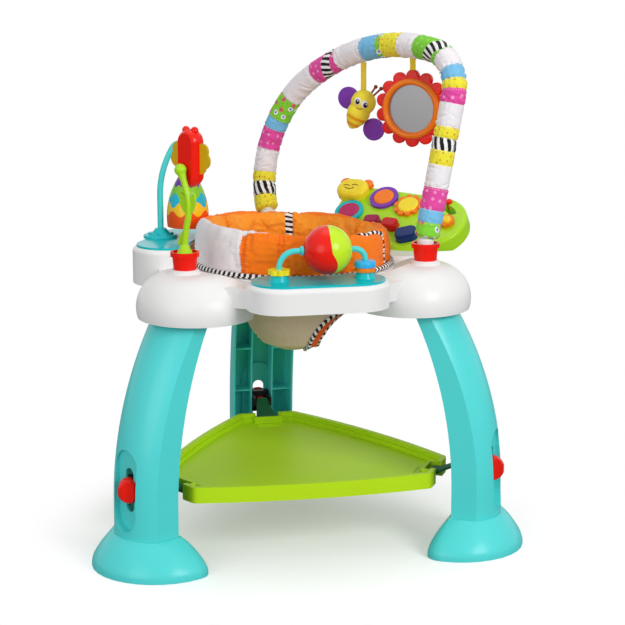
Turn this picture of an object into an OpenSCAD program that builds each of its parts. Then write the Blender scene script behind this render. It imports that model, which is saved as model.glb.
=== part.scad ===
// Baby jumper: a three-legged frame with a toy tray, a turning seat and a bounce platform.
// Millimetres, Z up, front towards -Y, origin on the floor under the middle of the seat.

/* [Legs] */
// Distance from the seat axis to a leg's outer face at the floor
leg_out_r = 318; // [306:1:330]
// Width of a leg
leg_w = 98; // [88:1:104]
// Depth of a leg at its foot, from its open inner edge to its outer face
leg_depth = 61; // [57:1:68]
// Wall of the leg mouldings
leg_wall = 3; // [2.4:0.1:4]
// Radius of a leg's bulging outer face, as a share of its width
leg_bulge = 0.64; // [0.58:0.01:0.8]
// Height at which a leg starts to bow inwards
leg_bow_z = 90; // [75:1:105]
// Bow radius of a leg's outer face
leg_bow_out = 505; // [485:1:540]
// Bow radius of a leg's inner edge
leg_bow_in = 602; // [570:1:660]
// Height of a leg's top, inside the tray
leg_top_z = 398; // [390:1:400]
// Distance of the leg ribs from its open inner edge
rib_setback = 14; // [8:1:20]
// Thickness of the leg ribs
rib_t = 2.4; // [1.6:0.1:3.2]
// Diameter of the peg on a leg's top
peg_d = 14; // [10:0.5:16]
// Length of the peg on a leg's top
peg_len = 7; // [4:0.5:7.5]

/* [Height slots] */
// Width of the oval recess in a leg
recess_w = 48; // [44:1:54]
// Height of the oval recess in a leg
recess_h = 118; // [112:1:126]
// Height of the middle of the recess
recess_z = 117; // [114:1:120]
// Depth of the recess below the leg's outer face
recess_depth = 14; // [12:0.5:16]
// Width of the slot in the recess
slot_w = 18; // [15:0.5:20]
// Length of the slot in the recess
slot_len = 64; // [52:1:80]
// Height of the middle of the slot
slot_z = 117; // [114:1:120]

/* [Knobs and sliders] */
// Diameter of a height knob
knob_d = 38; // [32:1:40]
// Height of a height knob
knob_h = 18; // [14:0.5:18.5]
// Width of the grip bar left on a knob
grip_w = 7; // [5:0.5:10]
// Diameter of a knob's shaft
shaft_d = 11; // [8:0.5:12]
// Diameter of the head on a knob's inner end
head_d = 18; // [15:0.5:20]
// Length of the head on a knob's inner end
head_h = 7; // [5:0.5:9]
// Thickness of a slider's block
slider_t = 13; // [10:0.5:15]
// Width of a slider
slider_w = 29; // [27:0.5:30]
// Height of a slider's block
slider_h = 34; // [28:1:38]
// Length of the key that runs in the slot
key_len = 24; // [16:1:30]
// Thickness of the slider's two cheeks
cheek_t = 4; // [3:0.5:4.5]
// Diameter of the strap pins
pin_d = 6; // [4:0.5:7]
// Height of a slider's strap pin above the knob's axis
pin_rise = 6; // [2:0.5:8]

/* [Feet] */
// Length by which a foot stands out past its leg
foot_out = 33; // [24:1:40]
// Radius of a foot on the floor
foot_r = 95; // [85:1:100]
// Length of a foot's straight inner part
foot_tail = 27; // [26:0.5:32]
// Rounding of a foot's two inner corners
foot_corner = 24; // [14:1:25]
// Height of a foot
foot_h = 50; // [46:1:54]
// Wall of a foot
foot_wall = 3.5; // [3:0.1:4.5]
// Height of the upright lip round a foot
foot_lip = 7; // [4:0.5:9]
// Thickness of a foot's sole, which the leg stands on
sole_t = 4; // [2.5:0.5:6]

/* [Platform] */
// Distance from a leg's outer face to the platform's cut corner
platform_set = 92; // [88:1:104]
// Distance by which the platform's sides lie nearer the seat axis than its corners
platform_cut = 74; // [66:1:82]
// Bulge of the platform's long sides
platform_bulge = 13; // [6:0.5:16]
// Height of the platform's lower edge above the floor
platform_z = 91; // [88:1:94]
// Height of the platform's rim
platform_h = 23; // [19:0.5:25]
// Rounding of the platform's corners
platform_round = 12; // [8:1:16]
// Width of the platform's rim
rim_w = 11; // [8:0.5:14]
// Thickness of the platform's floor and skirt
platform_t = 3; // [2.4:0.1:4]
// Depth of the platform's floor below its rim
platform_well = 13; // [10:0.5:15]
// Width of the strap notch in a corner
notch_w = 38; // [32:1:44]
// Depth of the strap notch in a corner
notch_deep = 18; // [15:0.5:22]

/* [Straps] */
// Thickness of a strap
strap_t = 4; // [3:0.5:5]
// Diameter of a strap's eyes
eye_d = 13; // [11:0.5:14]

/* [Tray] */
// Height of the tray's inner ring
ring_top = 400; // [398:0.5:401]
// Height of the inner wall round the opening
ring_wall_h = 15; // [11:0.5:18]
// Distance from a leg's outer face at the floor to the middle of its lobe
lobe_set = 136; // [134:1:139]
// Radius of a lobe's flat top
lobe_flat = 35; // [34:0.5:37]
// Radius of a lobe's rounded side
lobe_side = 50; // [48:0.5:52]
// Height of a lobe's top
lobe_top = 413; // [411:0.5:416]
// Height of a lobe's lower edge
lobe_bot = 349; // [346:0.5:352]
// Wall of the tray
tray_wall = 3; // [2.4:0.1:3.6]
// Half the straight length of a toy station
station_half = 50; // [44:1:54]
// Radius of a toy station's ends
station_end = 50; // [46:0.5:53]
// Height of the piano station's top
station_top = 405; // [404:0.5:407]
// Height of the ball station above the piano station
front_rise = 4; // [2:0.5:6]
// Height of the egg station above the piano station
left_rise = 22; // [16:0.5:24]
// Height of a toy station's lower edge
station_bot = 373; // [368:1:376]
// Rounding of a toy station's upper edge
station_edge = 7; // [4:0.5:9]
// Clear width that the tray leaves round its opening for the seat
seat_margin = 6; // [5:0.5:8]

/* [Cups] */
// Height of the plinth under a cup
plinth_h = 5.5; // [3:0.5:7]
// Height of a cup
cup_h = 25; // [24:0.5:28]
// Diameter of a cup's base
cup_base_d = 32; // [30:0.5:34]
// Diameter of a cup under its lip
cup_neck_d = 36; // [34:0.5:38]
// Diameter of a cup's lip
cup_lip_d = 41; // [39:0.5:44]
// Height of a cup's lip
cup_lip_h = 6.5; // [5:0.5:8]
// Diameter of the spigot that holds a cup in the tray
spigot_d = 16; // [12:0.5:18]
// Length of the spigot that holds a cup in the tray
spigot_len = 6; // [4:0.5:6.5]
// Depth of the socket in a cup
socket_deep = 20; // [14:0.5:22]

/* [Toy bar] */
// Diameter of the bar's inner tube
bar_d = 16; // [12:0.5:20]
// Diameter of the padded sleeve
sleeve_d = 37; // [33:0.5:40]
// Depth to which the sleeve is drawn in at its seams
seam_in = 1.1; // [0.4:0.1:1.6]
// Number of patches along the sleeve
patches = 24; // [14:1:26]
// Diameter of the bar's plugs
plug_d = 24; // [22:0.5:26]
// Lean of the bar away from the seat, in degrees
bar_lean = 12; // [6:0.5:16]

/* [Seat] */
// Width of the turning ring's tube
ring_w = 14; // [11:0.5:16]
// Width of the turning ring's flange beyond the opening
flange_w = 4; // [3:0.5:4.5]
// Thickness of the turning ring's flange
flange_t = 3; // [2:0.2:4]
// Distance from the opening's edge to the padded wall's outer face
wall_set = 5; // [4:0.5:7]
// Thickness of the padded wall
wall_pad = 32; // [26:0.5:36]
// Height of the padded wall
wall_h = 60; // [50:0.5:66]
// Number of sewn channels round the padded wall
channels = 12; // [8:1:16]
// Depth of the sewn channels
channel_in = 2.2; // [1:0.1:3]
// Diameter of the piping
piping_d = 6; // [4:0.5:6.5]
// Height of the sling's lowest point above the floor
sling_z = 273; // [255:1:290]
// Thickness of the sling's fabric
sling_t = 2.5; // [1.5:0.1:4]
// Turn of the seat at rest, in degrees
seat_turn = 130; // [0:5:355]

/* [Front ball toy] */
// Diameter of the ball
ball_d = 68; // [60:1:70]
// Height of the ball's middle
ball_z = 453; // [450:0.5:460]
// Diameter of the bent rod
rod_d = 8; // [6:0.5:9]
// Distance from the station's middle to the rod's left post
post_left = 55; // [52:1:60]
// Distance from the station's middle to the rod's right post
post_right = 66; // [64:1:72]
// Offset of the ball to the right of the station's middle
ball_shift = 13; // [10:1:15]
// Diameter of the flower beads
bead_d = 31; // [27:0.5:32]
// Height of the flower bead
bead_h = 7; // [5:0.5:8]
// Height of the flat round bead
disc_h = 6; // [4:0.5:6.5]
// Height of the thick round bead
ring_bead_h = 9; // [7:0.5:9.5]

/* [Left egg toy] */
// Diameter of the egg
egg_d = 63; // [56:0.5:64]
// Height of the egg
egg_h = 82; // [78:1:86]
// Height of the egg's lower edge
egg_z = 446; // [443:1:450]
// Diameter of the hook rod
hook_d = 9; // [7:0.5:10]
// Radius of the hook's tight bend over the egg
hook_bend = 11; // [9:0.5:14]
// Radius of the hook's long side bend
hook_side_r = 139; // [120:1:150]
// Height of the middle of the hook's rod at its top
hook_top = 571; // [566:1:580]

/* [Flower-pot toy] */
// Diameter of the stem
stem_d = 9; // [7:0.5:10]
// Height of the toy's spin axis
spin_z = 558; // [550:1:566]
// Diameter of the ball at the stem's top
hub_d = 17; // [14:0.5:18]
// Diameter of the axle that the toy spins on
axle_d = 6; // [5:0.5:7]
// Height of the toy's body
body_h = 82; // [74:1:88]
// Width of the toy's body
body_w = 36; // [32:1:40]
// Thickness of the toy's body
body_t = 26; // [22:0.5:30]
// Thickness of the toy's wings
wing_t = 3; // [2:0.5:4]

/* [Piano toy] */
// Thickness of the piano's housing
piano_t = 26; // [22:0.5:30]
// Tilt of the piano's face, in degrees
piano_tilt = 35; // [30:1:38]
// Height of the middle of the piano's face
piano_z = 445; // [442:0.5:450]
// Diameter of a pad's rim
pad_rim_d = 46; // [40:0.5:47]
// Diameter of a pad
pad_d = 33; // [30:0.5:35]
// Travel of a pad
pad_travel = 2; // [1:0.5:3]
// Length of a key
key_l = 30; // [26:0.5:31]
// Width of a key
key_w = 23; // [19:0.5:24]
// Height of a key above the face
key_rise = 12; // [9:0.5:14]
// Travel of a key
key_travel = 3; // [2:0.5:4]
// Diameter of the red button
button_d = 10; // [8:0.5:11]
// Diameter of the turning knob
dial_d = 24; // [20:0.5:26]

/* [Hanging toys] */
// Width of the hanging straps
ribbon_w = 9; // [7:0.5:11]
// Thickness of the hanging straps
ribbon_t = 1.6; // [1.2:0.1:2]
// Distance from the sleeve down to the middle of the bee's head
bee_drop = 60; // [54:1:66]
// Radius of the bee's head
bee_head_r = 19; // [17:0.5:21]
// Radius of the bee's wings
bee_wing_r = 17; // [14:0.5:18]
// Distance from the sleeve down to the mirror's middle
mirror_drop = 72.5; // [68:0.5:76]
// Radius of the mirror
mirror_r = 38; // [34:0.5:40]
// Radius at which the frame's scallops sit
scallop_ring = 47; // [45:0.5:50]
// Radius of one scallop
scallop_r = 10; // [9:0.5:12]
// Number of scallops round the mirror
scallops = 14; // [12:1:16]

/* [Hidden] */
$fn = 64;
// Gap between pieces that move past each other
gap = 0.3;
// Radial play of a shaft in its bore
fit = 0.05;
// Play of a plug in its socket
snug = 0.2;
// Gap under a piece that is glued or screwed to a sloping face
seated = 0.1;
// Length by which a cutter stands past what it cuts
past = 1;

sides = ["left", "right", "back"];
leg_angle = [210, 330, 90];
station_angle = [270, 150, 30];
front = 0;
left = 1;
right = 2;

turquoise = "#66E4E4";
dark_teal = "#10C4CA";
lime = "#A6D02E";
dark_green = "#1F6B3A";
red = "#EE2A1A";
orange = "#F98A1E";
yellow = "#FBDD2C";
purple = "#7A3FB4";
amber = "#D9A415";
blue = "#2C6FC0";
pink = "#E0328C";
white = "#F6F6F4";
black = "#202224";

// Leg bows: centres of the two arcs and radii at a given height
leg_face_r = leg_bulge * leg_w;
bow_out_cx = leg_out_r - leg_bow_out;
bow_in_cx = leg_out_r - leg_depth - leg_bow_in;
function leg_outer(z) = bow_out_cx + sqrt(pow(leg_bow_out, 2) - pow(max(z - leg_bow_z, 0), 2));
function leg_inner(z) = bow_in_cx + sqrt(pow(leg_bow_in, 2) - pow(max(z - leg_bow_z, 0), 2));
leg_reach = leg_depth + 60;
leg_turn = asin((leg_top_z - leg_bow_z) / (leg_bow_out - leg_reach)) + 3;
leg_bot = sole_t;
peg_x = (leg_outer(leg_top_z) + leg_inner(leg_top_z)) / 2;
rib_y = slider_w / 2 + 2.5;
rib_levels = [140, 212, 290];

// Tray and seat radii, which follow the legs
lobe_r0 = leg_out_r - lobe_set;
station_r0 = lobe_r0 - 2;
opening_r = lobe_r0 - 36;
ring_out = opening_r + 54;
ring_in = opening_r - ring_w;
seat_clear = opening_r + seat_margin;
slope_r = lobe_r0 - 4;
cup_r = lobe_r0 + 19;
wall_r = opening_r - wall_set;
platform_corner = leg_out_r - platform_set;
platform_side = platform_corner - platform_cut;

// Slot, slider and strap places, along the leg's own radial axis
floor_r = leg_out_r - recess_depth;
plate_r = floor_r - leg_wall;
block_out = plate_r - gap;
block_in = block_out - slider_t;
head_out = block_in - gap;
cheek_in = leg_out_r - leg_depth + 1.5;
slider_pin_x = cheek_in + pin_d / 2 + 3;
slider_pin_z = slot_z + pin_rise;
cheek_gap = slider_w - 2 * cheek_t;
platform_pin_x = platform_corner - notch_deep + eye_d / 2 + 2;
platform_pin_z = platform_z + platform_h / 2;

// Feet
foot_cx = leg_out_r + foot_out - foot_r;
foot_back = foot_cx - foot_tail;

// Platform: radius of its bowed sides
side_half = platform_side * sqrt(3) - (2 * platform_side - platform_corner) / cos(30);
platform_bow = (pow(side_half, 2) + pow(platform_bulge, 2)) / 2 / platform_bulge;

// Toy stations and seat
plate_t = 3;
station_tops = [station_top + front_rise, station_top + left_rise, station_top];
plate_top = station_tops[front] + plate_t;
plate_end = station_end - 6;
cup_z = lobe_top + plinth_h;
cup_top = cup_z + cup_h;
flange_z = ring_top + gap;
wall_z = flange_z + flange_t + gap;
piping_r = wall_r + piping_d / 2 - 0.4;
seat_front = 270 + seat_turn;
hole_turn = 58;
sling_rim = wall_r - 0.85 * wall_pad;
leg_hole_d = 0.703 * sling_rim;

// Rods and tubes are chains of straight and bent runs [length, turn to the right in degrees]
// that start at [x, y] with a heading.
function bend(r, turn) = [r * abs(turn) * PI / 180, turn];
function run_on(p, run, s) =
    let (a = run[1] * s / run[0], h = p[2])
    abs(run[1]) < 0.001
        ? [p[0] + s * cos(h), p[1] + s * sin(h), h]
        : let (r = run[0] * 180 / PI / run[1])
          [p[0] + r * (sin(h) - sin(h - a)), p[1] + r * (cos(h - a) - cos(h)), h - a];
function chain_start(runs, p, i) =
    i == 0 ? p : run_on(chain_start(runs, p, i - 1), runs[i - 1], runs[i - 1][0]);
function chain_at(runs, p, s, i = 0) =
    s <= runs[i][0] || i == len(runs) - 1
        ? run_on(p, runs[i], s)
        : chain_at(runs, run_on(p, runs[i], runs[i][0]), s - runs[i][0], i + 1);
function chain_length(runs) = [for (r = runs) r[0]] * [for (r = runs) 1];

// Toy bar: bends from the back cup to the right cup, closed by two straight runs
chord = 2 * cup_r * sin(60);
bar_k = chord / 348;
bar_base = cup_top + 1.5;
bar_bends = [bend(133 * bar_k, 21.5), bend(163 * bar_k, 64), bend(348 * bar_k, 45), bend(63 * bar_k, 83)];
rise_heading = 121;
bar_p0 = [-chord / 2, 0, rise_heading];
bar_open = chain_start(bar_bends, bar_p0, 4);
drop_heading = bar_open[2];
bar_miss = [chord / 2 - bar_open[0], -bar_open[1]];
bar_det = cos(rise_heading) * sin(drop_heading) - sin(rise_heading) * cos(drop_heading);
rise_len = (bar_miss[0] * sin(drop_heading) - bar_miss[1] * cos(drop_heading)) / bar_det;
drop_len = (cos(rise_heading) * bar_miss[1] - sin(rise_heading) * bar_miss[0]) / bar_det;
bar_runs = [[rise_len, 0], bar_bends[0], bar_bends[1], bar_bends[2], bar_bends[3], [drop_len, 0]];
bar_length = chain_length(bar_runs);
bar_rings = 40;
sleeve_end = 10;
sleeve_sides = 12;
sleeve_bore = (bar_d / 2 + gap) / cos(180 / sleeve_sides) + 0.2;

// Front rod: two posts and a level stretch through the ball
rod_bend_left = ball_z - plate_top - 18;
rod_bend_right = ball_z - plate_top - 26;
rod_runs = [[18, 0], bend(rod_bend_left, 90),
            [post_left + post_right - rod_bend_left - rod_bend_right, 0], bend(rod_bend_right, 90), [26, 0]];
boss_h = 9;
bead_z = plate_top + boss_h + gap;

// Hook: up, over and down into the egg
hook_base = station_tops[left] + plate_t;
hook_bottom = hook_base + 2;
hook_lean = 31.6;
hook_rise = (hook_side_r - hook_bend) * sin(hook_lean) + hook_bend;
hook_over = hook_side_r * (1 - cos(hook_lean)) + hook_bend * (1 + cos(hook_lean));
egg_top = egg_z + egg_h;
hook_in_egg = 12;
hook_runs = [[hook_top - hook_rise - hook_bottom, 0], bend(hook_side_r, hook_lean),
             bend(hook_bend, 180 - hook_lean), [hook_top - hook_bend - egg_top, 0]];
hook_r = station_r0 + 30;
hook_turn = -10;
egg_cap_r = egg_d / 4;
egg_belly = 14;
egg_rise = egg_h - egg_belly - egg_cap_r;
egg_side_d = (pow(egg_rise, 2) - pow(egg_d / 2 - egg_cap_r, 2)) / (egg_d - 2 * egg_cap_r);
egg_side_r = egg_side_d + egg_d / 2;

// Stem: a lazy S from the cup to the hub
stem_foot = cup_top - socket_deep + gap;
stem_shape = [[18, 0], bend(150, 16), bend(60, -37), [27, 0]];
stem_k = (spin_z - stem_foot) / chain_start(stem_shape, [0, 0, 90], len(stem_shape))[1];
stem_runs = [for (r = stem_shape) [r[0] * stem_k, r[1]]];
stem_end = chain_start(stem_runs, [0, stem_foot, 90], len(stem_runs));
stem_turn = -50;
axle_reach = hub_d / 2 + gap + body_t;
body_lift = 14;
// Leaves: place along and up the stem, tilt, length and width
leaf_at = [[10, 72, -16, 33, 12], [8, 72, 24, 34, 15], [2, 50, 150, 26, 9]];

// Piano: places on its face, right and up
piano_r = station_r0 + 33.7;
piano_turn = -40;
pad_at = [[-84, 4], [-38, 40], [9, 27]];
key_at = [[-36, -15], [-4, -19], [31, -37]];
key_turn = [8, -4, 24];
key_size = [0.84, 0.9, 1.14];
button_at = [71, 44];
dial_at = [85, -1];
head_at = [-95, 48.5];
head_r = 20;
head_half = 6;
handle_at = [58, 2];
handle_r = 54;
pocket = 14;
key_pocket = 8;

// Hanging toys: where their straps leave the sleeve, from the bar's middle
hang_turn = -35;
hang_gap = 0.1;
// The bar slopes over the bee, so its strap ends a little lower
bee_ease = 1.35;
bee_along = -16;
mirror_along = 86;
mirror_tab = scallop_ring + scallop_r - 1;

// Shapes that repeat

// Joins rings of equal length into one closed skin, from the first ring up to the last.
// A folded ring runs out and back, so its ends close from side to side.
module skin(rings, loop = false, folded = false) {
    n = len(rings[0]);
    m = len(rings);
    points = [for (r = rings) each r];
    walls = [for (i = [0 : loop ? m - 1 : m - 2]) for (j = [0 : n - 1])
        let (a = i * n + j, b = i * n + (j + 1) % n,
            c = ((i + 1) % m) * n + j, d = ((i + 1) % m) * n + (j + 1) % n)
        each [[a, c, d], [a, d, b]]];
    last = (m - 1) * n;
    caps = loop ? []
        : folded ? [for (j = [0 : n / 2 - 2]) let (a = j, b = j + 1, c = n - 2 - j, d = n - 1 - j)
            each [[a, b, c], [a, c, d], [last + c, last + b, last + a], [last + d, last + c, last + a]]]
        : [[for (j = [0 : n - 1]) j], [for (j = [n - 1 : -1 : 0]) last + j]];
    polyhedron(points, concat(walls, caps));
}

// Stands a flat outline up across the X axis and gives it thickness from x0 to x1
module across_x(x0, x1) {
    rotate([90, 0, 90]) translate([0, 0, x0]) linear_extrude(x1 - x0) children();
}

// Oval along the second axis: two round ends and a straight middle
module oval(half, r) {
    translate([-r, -half]) square([2 * r, 2 * half]);
    for (s = [-1, 1]) translate([0, s * half]) circle(r);
}

// A rod along a chain of runs, in the plane of its bends
module chain_rod(runs, p, d) {
    for (i = [0 : len(runs) - 1]) {
        q = chain_start(runs, p, i);
        turn = runs[i][1];
        translate([q[0], q[1], 0]) rotate(q[2])
            if (turn == 0) rotate([0, 90, 0]) cylinder(d = d, h = runs[i][0]);
            else {
                r = runs[i][0] * 180 / PI / abs(turn);
                s = turn > 0 ? -1 : 1;
                translate([0, s * r, 0]) rotate(turn > 0 ? 90 - turn : -90)
                    rotate_extrude(angle = abs(turn)) translate([r, 0]) circle(d = d);
            }
    }
}

// One ring of a flexible tube, square to its chain at distance s
function chain_ring(runs, p, s, r, n) =
    let (c = chain_at(runs, p, s))
    [for (i = [0 : n - 1]) let (q = 360 * i / n)
        [c[0] - r * cos(q) * sin(c[2]), c[1] + r * cos(q) * cos(c[2]), r * sin(q)]];

// A bar along a chain of many small bends
module chain_skin(runs, p, r, rings) {
    length = chain_length(runs);
    skin([for (i = [0 : rings]) chain_ring(runs, p, length * i / rings, r, 16)]);
}

// Round puck with a rounded upper edge
module puck(r, h, edge) {
    rotate_extrude() {
        square([r - edge, h]);
        square([r, h - edge]);
        translate([r - edge, h - edge]) circle(edge);
    }
}

// Flower outline: a middle and a ring of round petals
module flower(d, petals, petal_d) {
    circle(d = d - petal_d);
    for (i = [0 : petals - 1]) rotate(i * 360 / petals) translate([(d - petal_d) / 2, 0]) circle(d = petal_d);
}

module at_leg(k) { rotate(leg_angle[k]) children(); }
module at_cup(k) { rotate(leg_angle[k]) translate([cup_r, 0, cup_z]) children(); }
module at_station(k) { rotate(station_angle[k]) translate([station_r0, 0, 0]) children(); }

// Legs

// Outline of a leg around its bow's centre, without its inner wall
module leg_outline(inset) {
    half = leg_w / 2 - inset;
    x0 = leg_bow_out - leg_reach;
    intersection() {
        translate([x0, -half]) square([leg_reach, 2 * half]);
        union() {
            translate([leg_bow_out - leg_face_r, 0]) circle(leg_face_r - inset);
            translate([x0, -half]) square([leg_reach - leg_face_r, 2 * half]);
        }
    }
}

// The whole length of a leg: an upright foot and a bowed rise
module leg_sweep(inset) {
    translate([bow_out_cx, 0, leg_bow_z]) rotate([90, 0, 0])
        rotate_extrude(angle = leg_turn) leg_outline(inset);
    translate([bow_out_cx, 0, leg_bot]) linear_extrude(leg_bow_z - leg_bot) leg_outline(inset);
}

// All that lies on the seat's side of a leg's inner edge
module leg_inside(setback) {
    x1 = leg_out_r - leg_depth + setback;
    translate([bow_in_cx, 0, leg_bow_z]) rotate([90, 0, 0])
        cylinder(r = leg_bow_in + setback, h = 2 * leg_w, center = true);
    translate([x1 - leg_reach, -leg_w, 0]) cube([leg_reach, 2 * leg_w, leg_bow_z]);
}

module recess_outline(grow) {
    translate([0, recess_z]) oval((recess_h - recess_w) / 2, recess_w / 2 + grow);
}

module leg_ribs() {
    for (s = [-1, 1]) translate([0, s * rib_y - rib_t / 2, leg_bot])
        cube([leg_out_r, rib_t, leg_top_z - leg_bot]);
    for (z = rib_levels) for (s = [-1, 1])
        translate([0, s > 0 ? rib_y : -leg_w / 2, z]) cube([leg_out_r, leg_w / 2 - rib_y, rib_t]);
}

module leg() {
    color(turquoise) {
        difference() {
            union() {
                difference() {
                    leg_sweep(0);
                    leg_sweep(leg_wall);
                    leg_inside(0);
                }
                difference() {
                    intersection() {
                        leg_sweep(leg_wall / 2);
                        union() {
                            leg_ribs();
                            across_x(plate_r, leg_out_r) recess_outline(leg_wall);
                        }
                    }
                    leg_inside(rib_setback);
                }
                difference() {
                    intersection() {
                        leg_sweep(0);
                        translate([0, -leg_w, leg_top_z - leg_wall])
                            cube([leg_out_r, 2 * leg_w, 2 * leg_wall]);
                    }
                    leg_inside(0);
                }
            }
            translate([0, -leg_w, leg_top_z]) cube([leg_out_r, 2 * leg_w, leg_out_r]);
            across_x(floor_r, leg_out_r + past) recess_outline(0);
            across_x(plate_r - past, floor_r + past) translate([0, slot_z])
                oval((slot_len - slot_w) / 2, slot_w / 2);
        }
        translate([peg_x, 0, leg_top_z]) cylinder(d = peg_d, h = peg_len);
    }
}

// Feet

// Outline with a round front, straight sides and a flat back with round corners
function foot_outline(cx, r, half, back, corner) =
    let (spread = asin(half / r), steps = 16, turns = 4)
    concat([for (i = [0 : turns]) let (q = 180 + 90 * i / turns)
               [back + corner + corner * cos(q), corner - half + corner * sin(q)]],
           [for (i = [0 : steps]) let (q = spread * (2 * i / steps - 1)) [cx + r * cos(q), r * sin(q)]],
           [for (i = [0 : turns]) let (q = 90 + 90 * i / turns)
               [back + corner + corner * cos(q), half - corner + corner * sin(q)]]);

// Outlines of a foot's neck and of its edge on the floor, w outside its inner face
function neck_outline(w) =
    foot_outline(leg_out_r - leg_face_r, leg_face_r + gap + w, leg_w / 2 + gap + w,
                 leg_out_r - leg_depth - gap - w, 1 + w);
function edge_outline(w) =
    let (in = foot_wall - w)
    foot_outline(foot_cx, foot_r - in, foot_r - in, foot_back + in, foot_corner - in);

// How far the foot has spread from its neck to its edge at height z
function flare(z) = z <= foot_lip ? 1 : pow(1 - pow(min((z - foot_lip) / (foot_h - foot_lip), 1), 1.3), 0.85);

module foot() {
    rises = 7;
    levels = concat([0], [for (i = [0 : rises]) foot_lip + (foot_h - foot_lip) * i / rises]);
    skins = [for (w = [foot_wall, 0]) [neck_outline(w), edge_outline(w)]];
    at = function(w, j, z) let (p = skins[w][0][j], q = skins[w][1][j], f = flare(z))
        [p[0] + (q[0] - p[0]) * f, p[1] + (q[1] - p[1]) * f, z];
    n = len(levels) - 1;
    color(turquoise) {
        skin([for (j = [0 : len(skins[0][0]) - 1])
            concat([for (z = levels) at(1, j, z)],
                [for (i = [n : -1 : 0]) at(0, j, levels[i])])], loop = true);
        linear_extrude(sole_t) polygon(edge_outline(foot_wall / 2));
    }
}

// Height knobs, sliders and straps

module knob() {
    color(red) translate([0, 0, slot_z]) rotate([0, 90, 0]) {
        difference() {
            translate([0, 0, floor_r + gap]) intersection() {
                sphere(d = knob_d);
                cylinder(d = knob_d, h = knob_h);
            }
            for (s = [-1, 1]) translate([0, s * (grip_w / 2 + knob_d / 3), floor_r + gap + knob_h])
                rotate([0, 90, 0]) cylinder(r = knob_d / 3, h = knob_d, center = true);
        }
        translate([0, 0, head_out - past]) cylinder(d = shaft_d, h = floor_r + 2 * gap - head_out + past);
        translate([0, 0, head_out - head_h]) cylinder(d = head_d, h = head_h);
    }
}

module slider() {
    color(black) difference() {
        union() {
            translate([block_in, -slider_w / 2, slot_z - slider_h / 2]) cube([slider_t, slider_w, slider_h]);
            across_x(block_out - past, block_out + leg_wall) translate([0, slot_z])
                oval((key_len - slot_w) / 2 + gap, slot_w / 2 - gap);
            for (s = [0, 1])
                translate([cheek_in, s > 0 ? slider_w / 2 - cheek_t : -slider_w / 2, slider_pin_z - 7])
                cube([block_in - cheek_in + past, cheek_t, 14]);
            translate([slider_pin_x, 0, slider_pin_z]) rotate([90, 0, 0])
                cylinder(d = pin_d, h = slider_w - cheek_t, center = true);
        }
        translate([block_in - past, 0, slot_z]) rotate([0, 90, 0])
            cylinder(d = shaft_d + 2 * fit, h = slider_t + leg_wall + 2 * past);
    }
}

module strap() {
    run = [slider_pin_x - platform_pin_x, slider_pin_z - platform_pin_z];
    wide = notch_w / 2 - gap;
    narrow = cheek_gap / 2 - gap;
    color(dark_green) translate([platform_pin_x, 0, platform_pin_z]) rotate([0, -atan2(run[1], run[0]), 0])
        difference() {
            union() {
                translate([0, 0, -strap_t / 2]) linear_extrude(strap_t)
                    polygon([[0, -wide], [norm(run) - eye_d / 2, -narrow], [norm(run), -narrow],
                             [norm(run), narrow], [norm(run) - eye_d / 2, narrow], [0, wide]]);
                rotate([90, 0, 0]) cylinder(d = eye_d, h = 2 * wide, center = true);
                translate([norm(run), 0, 0]) rotate([90, 0, 0])
                    cylinder(d = eye_d, h = 2 * narrow, center = true);
            }
            for (x = [0, norm(run)]) translate([x, 0, 0]) rotate([90, 0, 0])
                cylinder(d = pin_d + 2 * snug, h = notch_w + past, center = true);
        }
}

// Platform

// Cut-cornered triangle with bowed sides and round corners, drawn in by inset
function platform_outline(inset) =
    let (
        r = max(platform_round - inset, 1),
        bow = platform_bow - inset,
        far = platform_bow - platform_side - platform_bulge,
        c = [-far * cos(60), -far * sin(60)],
        x = platform_corner - inset - r,
        y = c[1] + sqrt(pow(bow - r, 2) - pow(x - c[0], 2)),
        q = atan2(y - c[1], x - c[0]),
        one = concat([for (i = [-5 : 0]) [x + r * cos(q * i / 5), r * sin(q * i / 5) - y]],
                     [for (i = [0 : 5]) [x + r * cos(q * i / 5), r * sin(q * i / 5) + y]],
                     [for (i = [1 : 7]) let (w = q + (120 - 2 * q) * i / 8) c + bow * [cos(w), sin(w)]])
    )
    [for (a = leg_angle) for (p = one) [p[0] * cos(a) - p[1] * sin(a), p[0] * sin(a) + p[1] * cos(a)]];

module platform_slab(z0, z1, inset) {
    translate([0, 0, z0]) linear_extrude(z1 - z0) polygon(platform_outline(inset));
}

module platform() {
    top = platform_z + platform_h;
    floor_z = top - platform_well;
    color(lime) {
        difference() {
            platform_slab(platform_z, top, 0);
            platform_slab(floor_z, top + past, rim_w);
            platform_slab(top - platform_well / 2, top + past, rim_w - 3);
            platform_slab(platform_z - past, floor_z - platform_t, platform_t);
            for (k = [0 : 2]) at_leg(k)
                translate([platform_corner - notch_deep, -notch_w / 2, platform_z - past])
                    cube([notch_deep + past, notch_w, platform_h + 2 * past]);
        }
        for (k = [0 : 2]) at_leg(k) {
            translate([platform_pin_x, 0, platform_pin_z]) rotate([90, 0, 0])
                cylinder(d = pin_d, h = notch_w + 2 * platform_t, center = true);
            difference() {
                translate([platform_corner - notch_deep - platform_t, -notch_w / 2 - platform_t, platform_z])
                    cube([notch_deep + 1, notch_w + 2 * platform_t, platform_h - 2]);
                translate([platform_corner - notch_deep, -notch_w / 2, platform_z - past])
                    cube([notch_deep + past, notch_w, platform_h + past]);
            }
            for (i = [0, 1])
                translate([platform_corner - notch_deep - 12 - 9 * i, -notch_w / 2, floor_z - past])
                cube([2.5, notch_w, past + 1.5]);
        }
    }
}

// Tray

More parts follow.
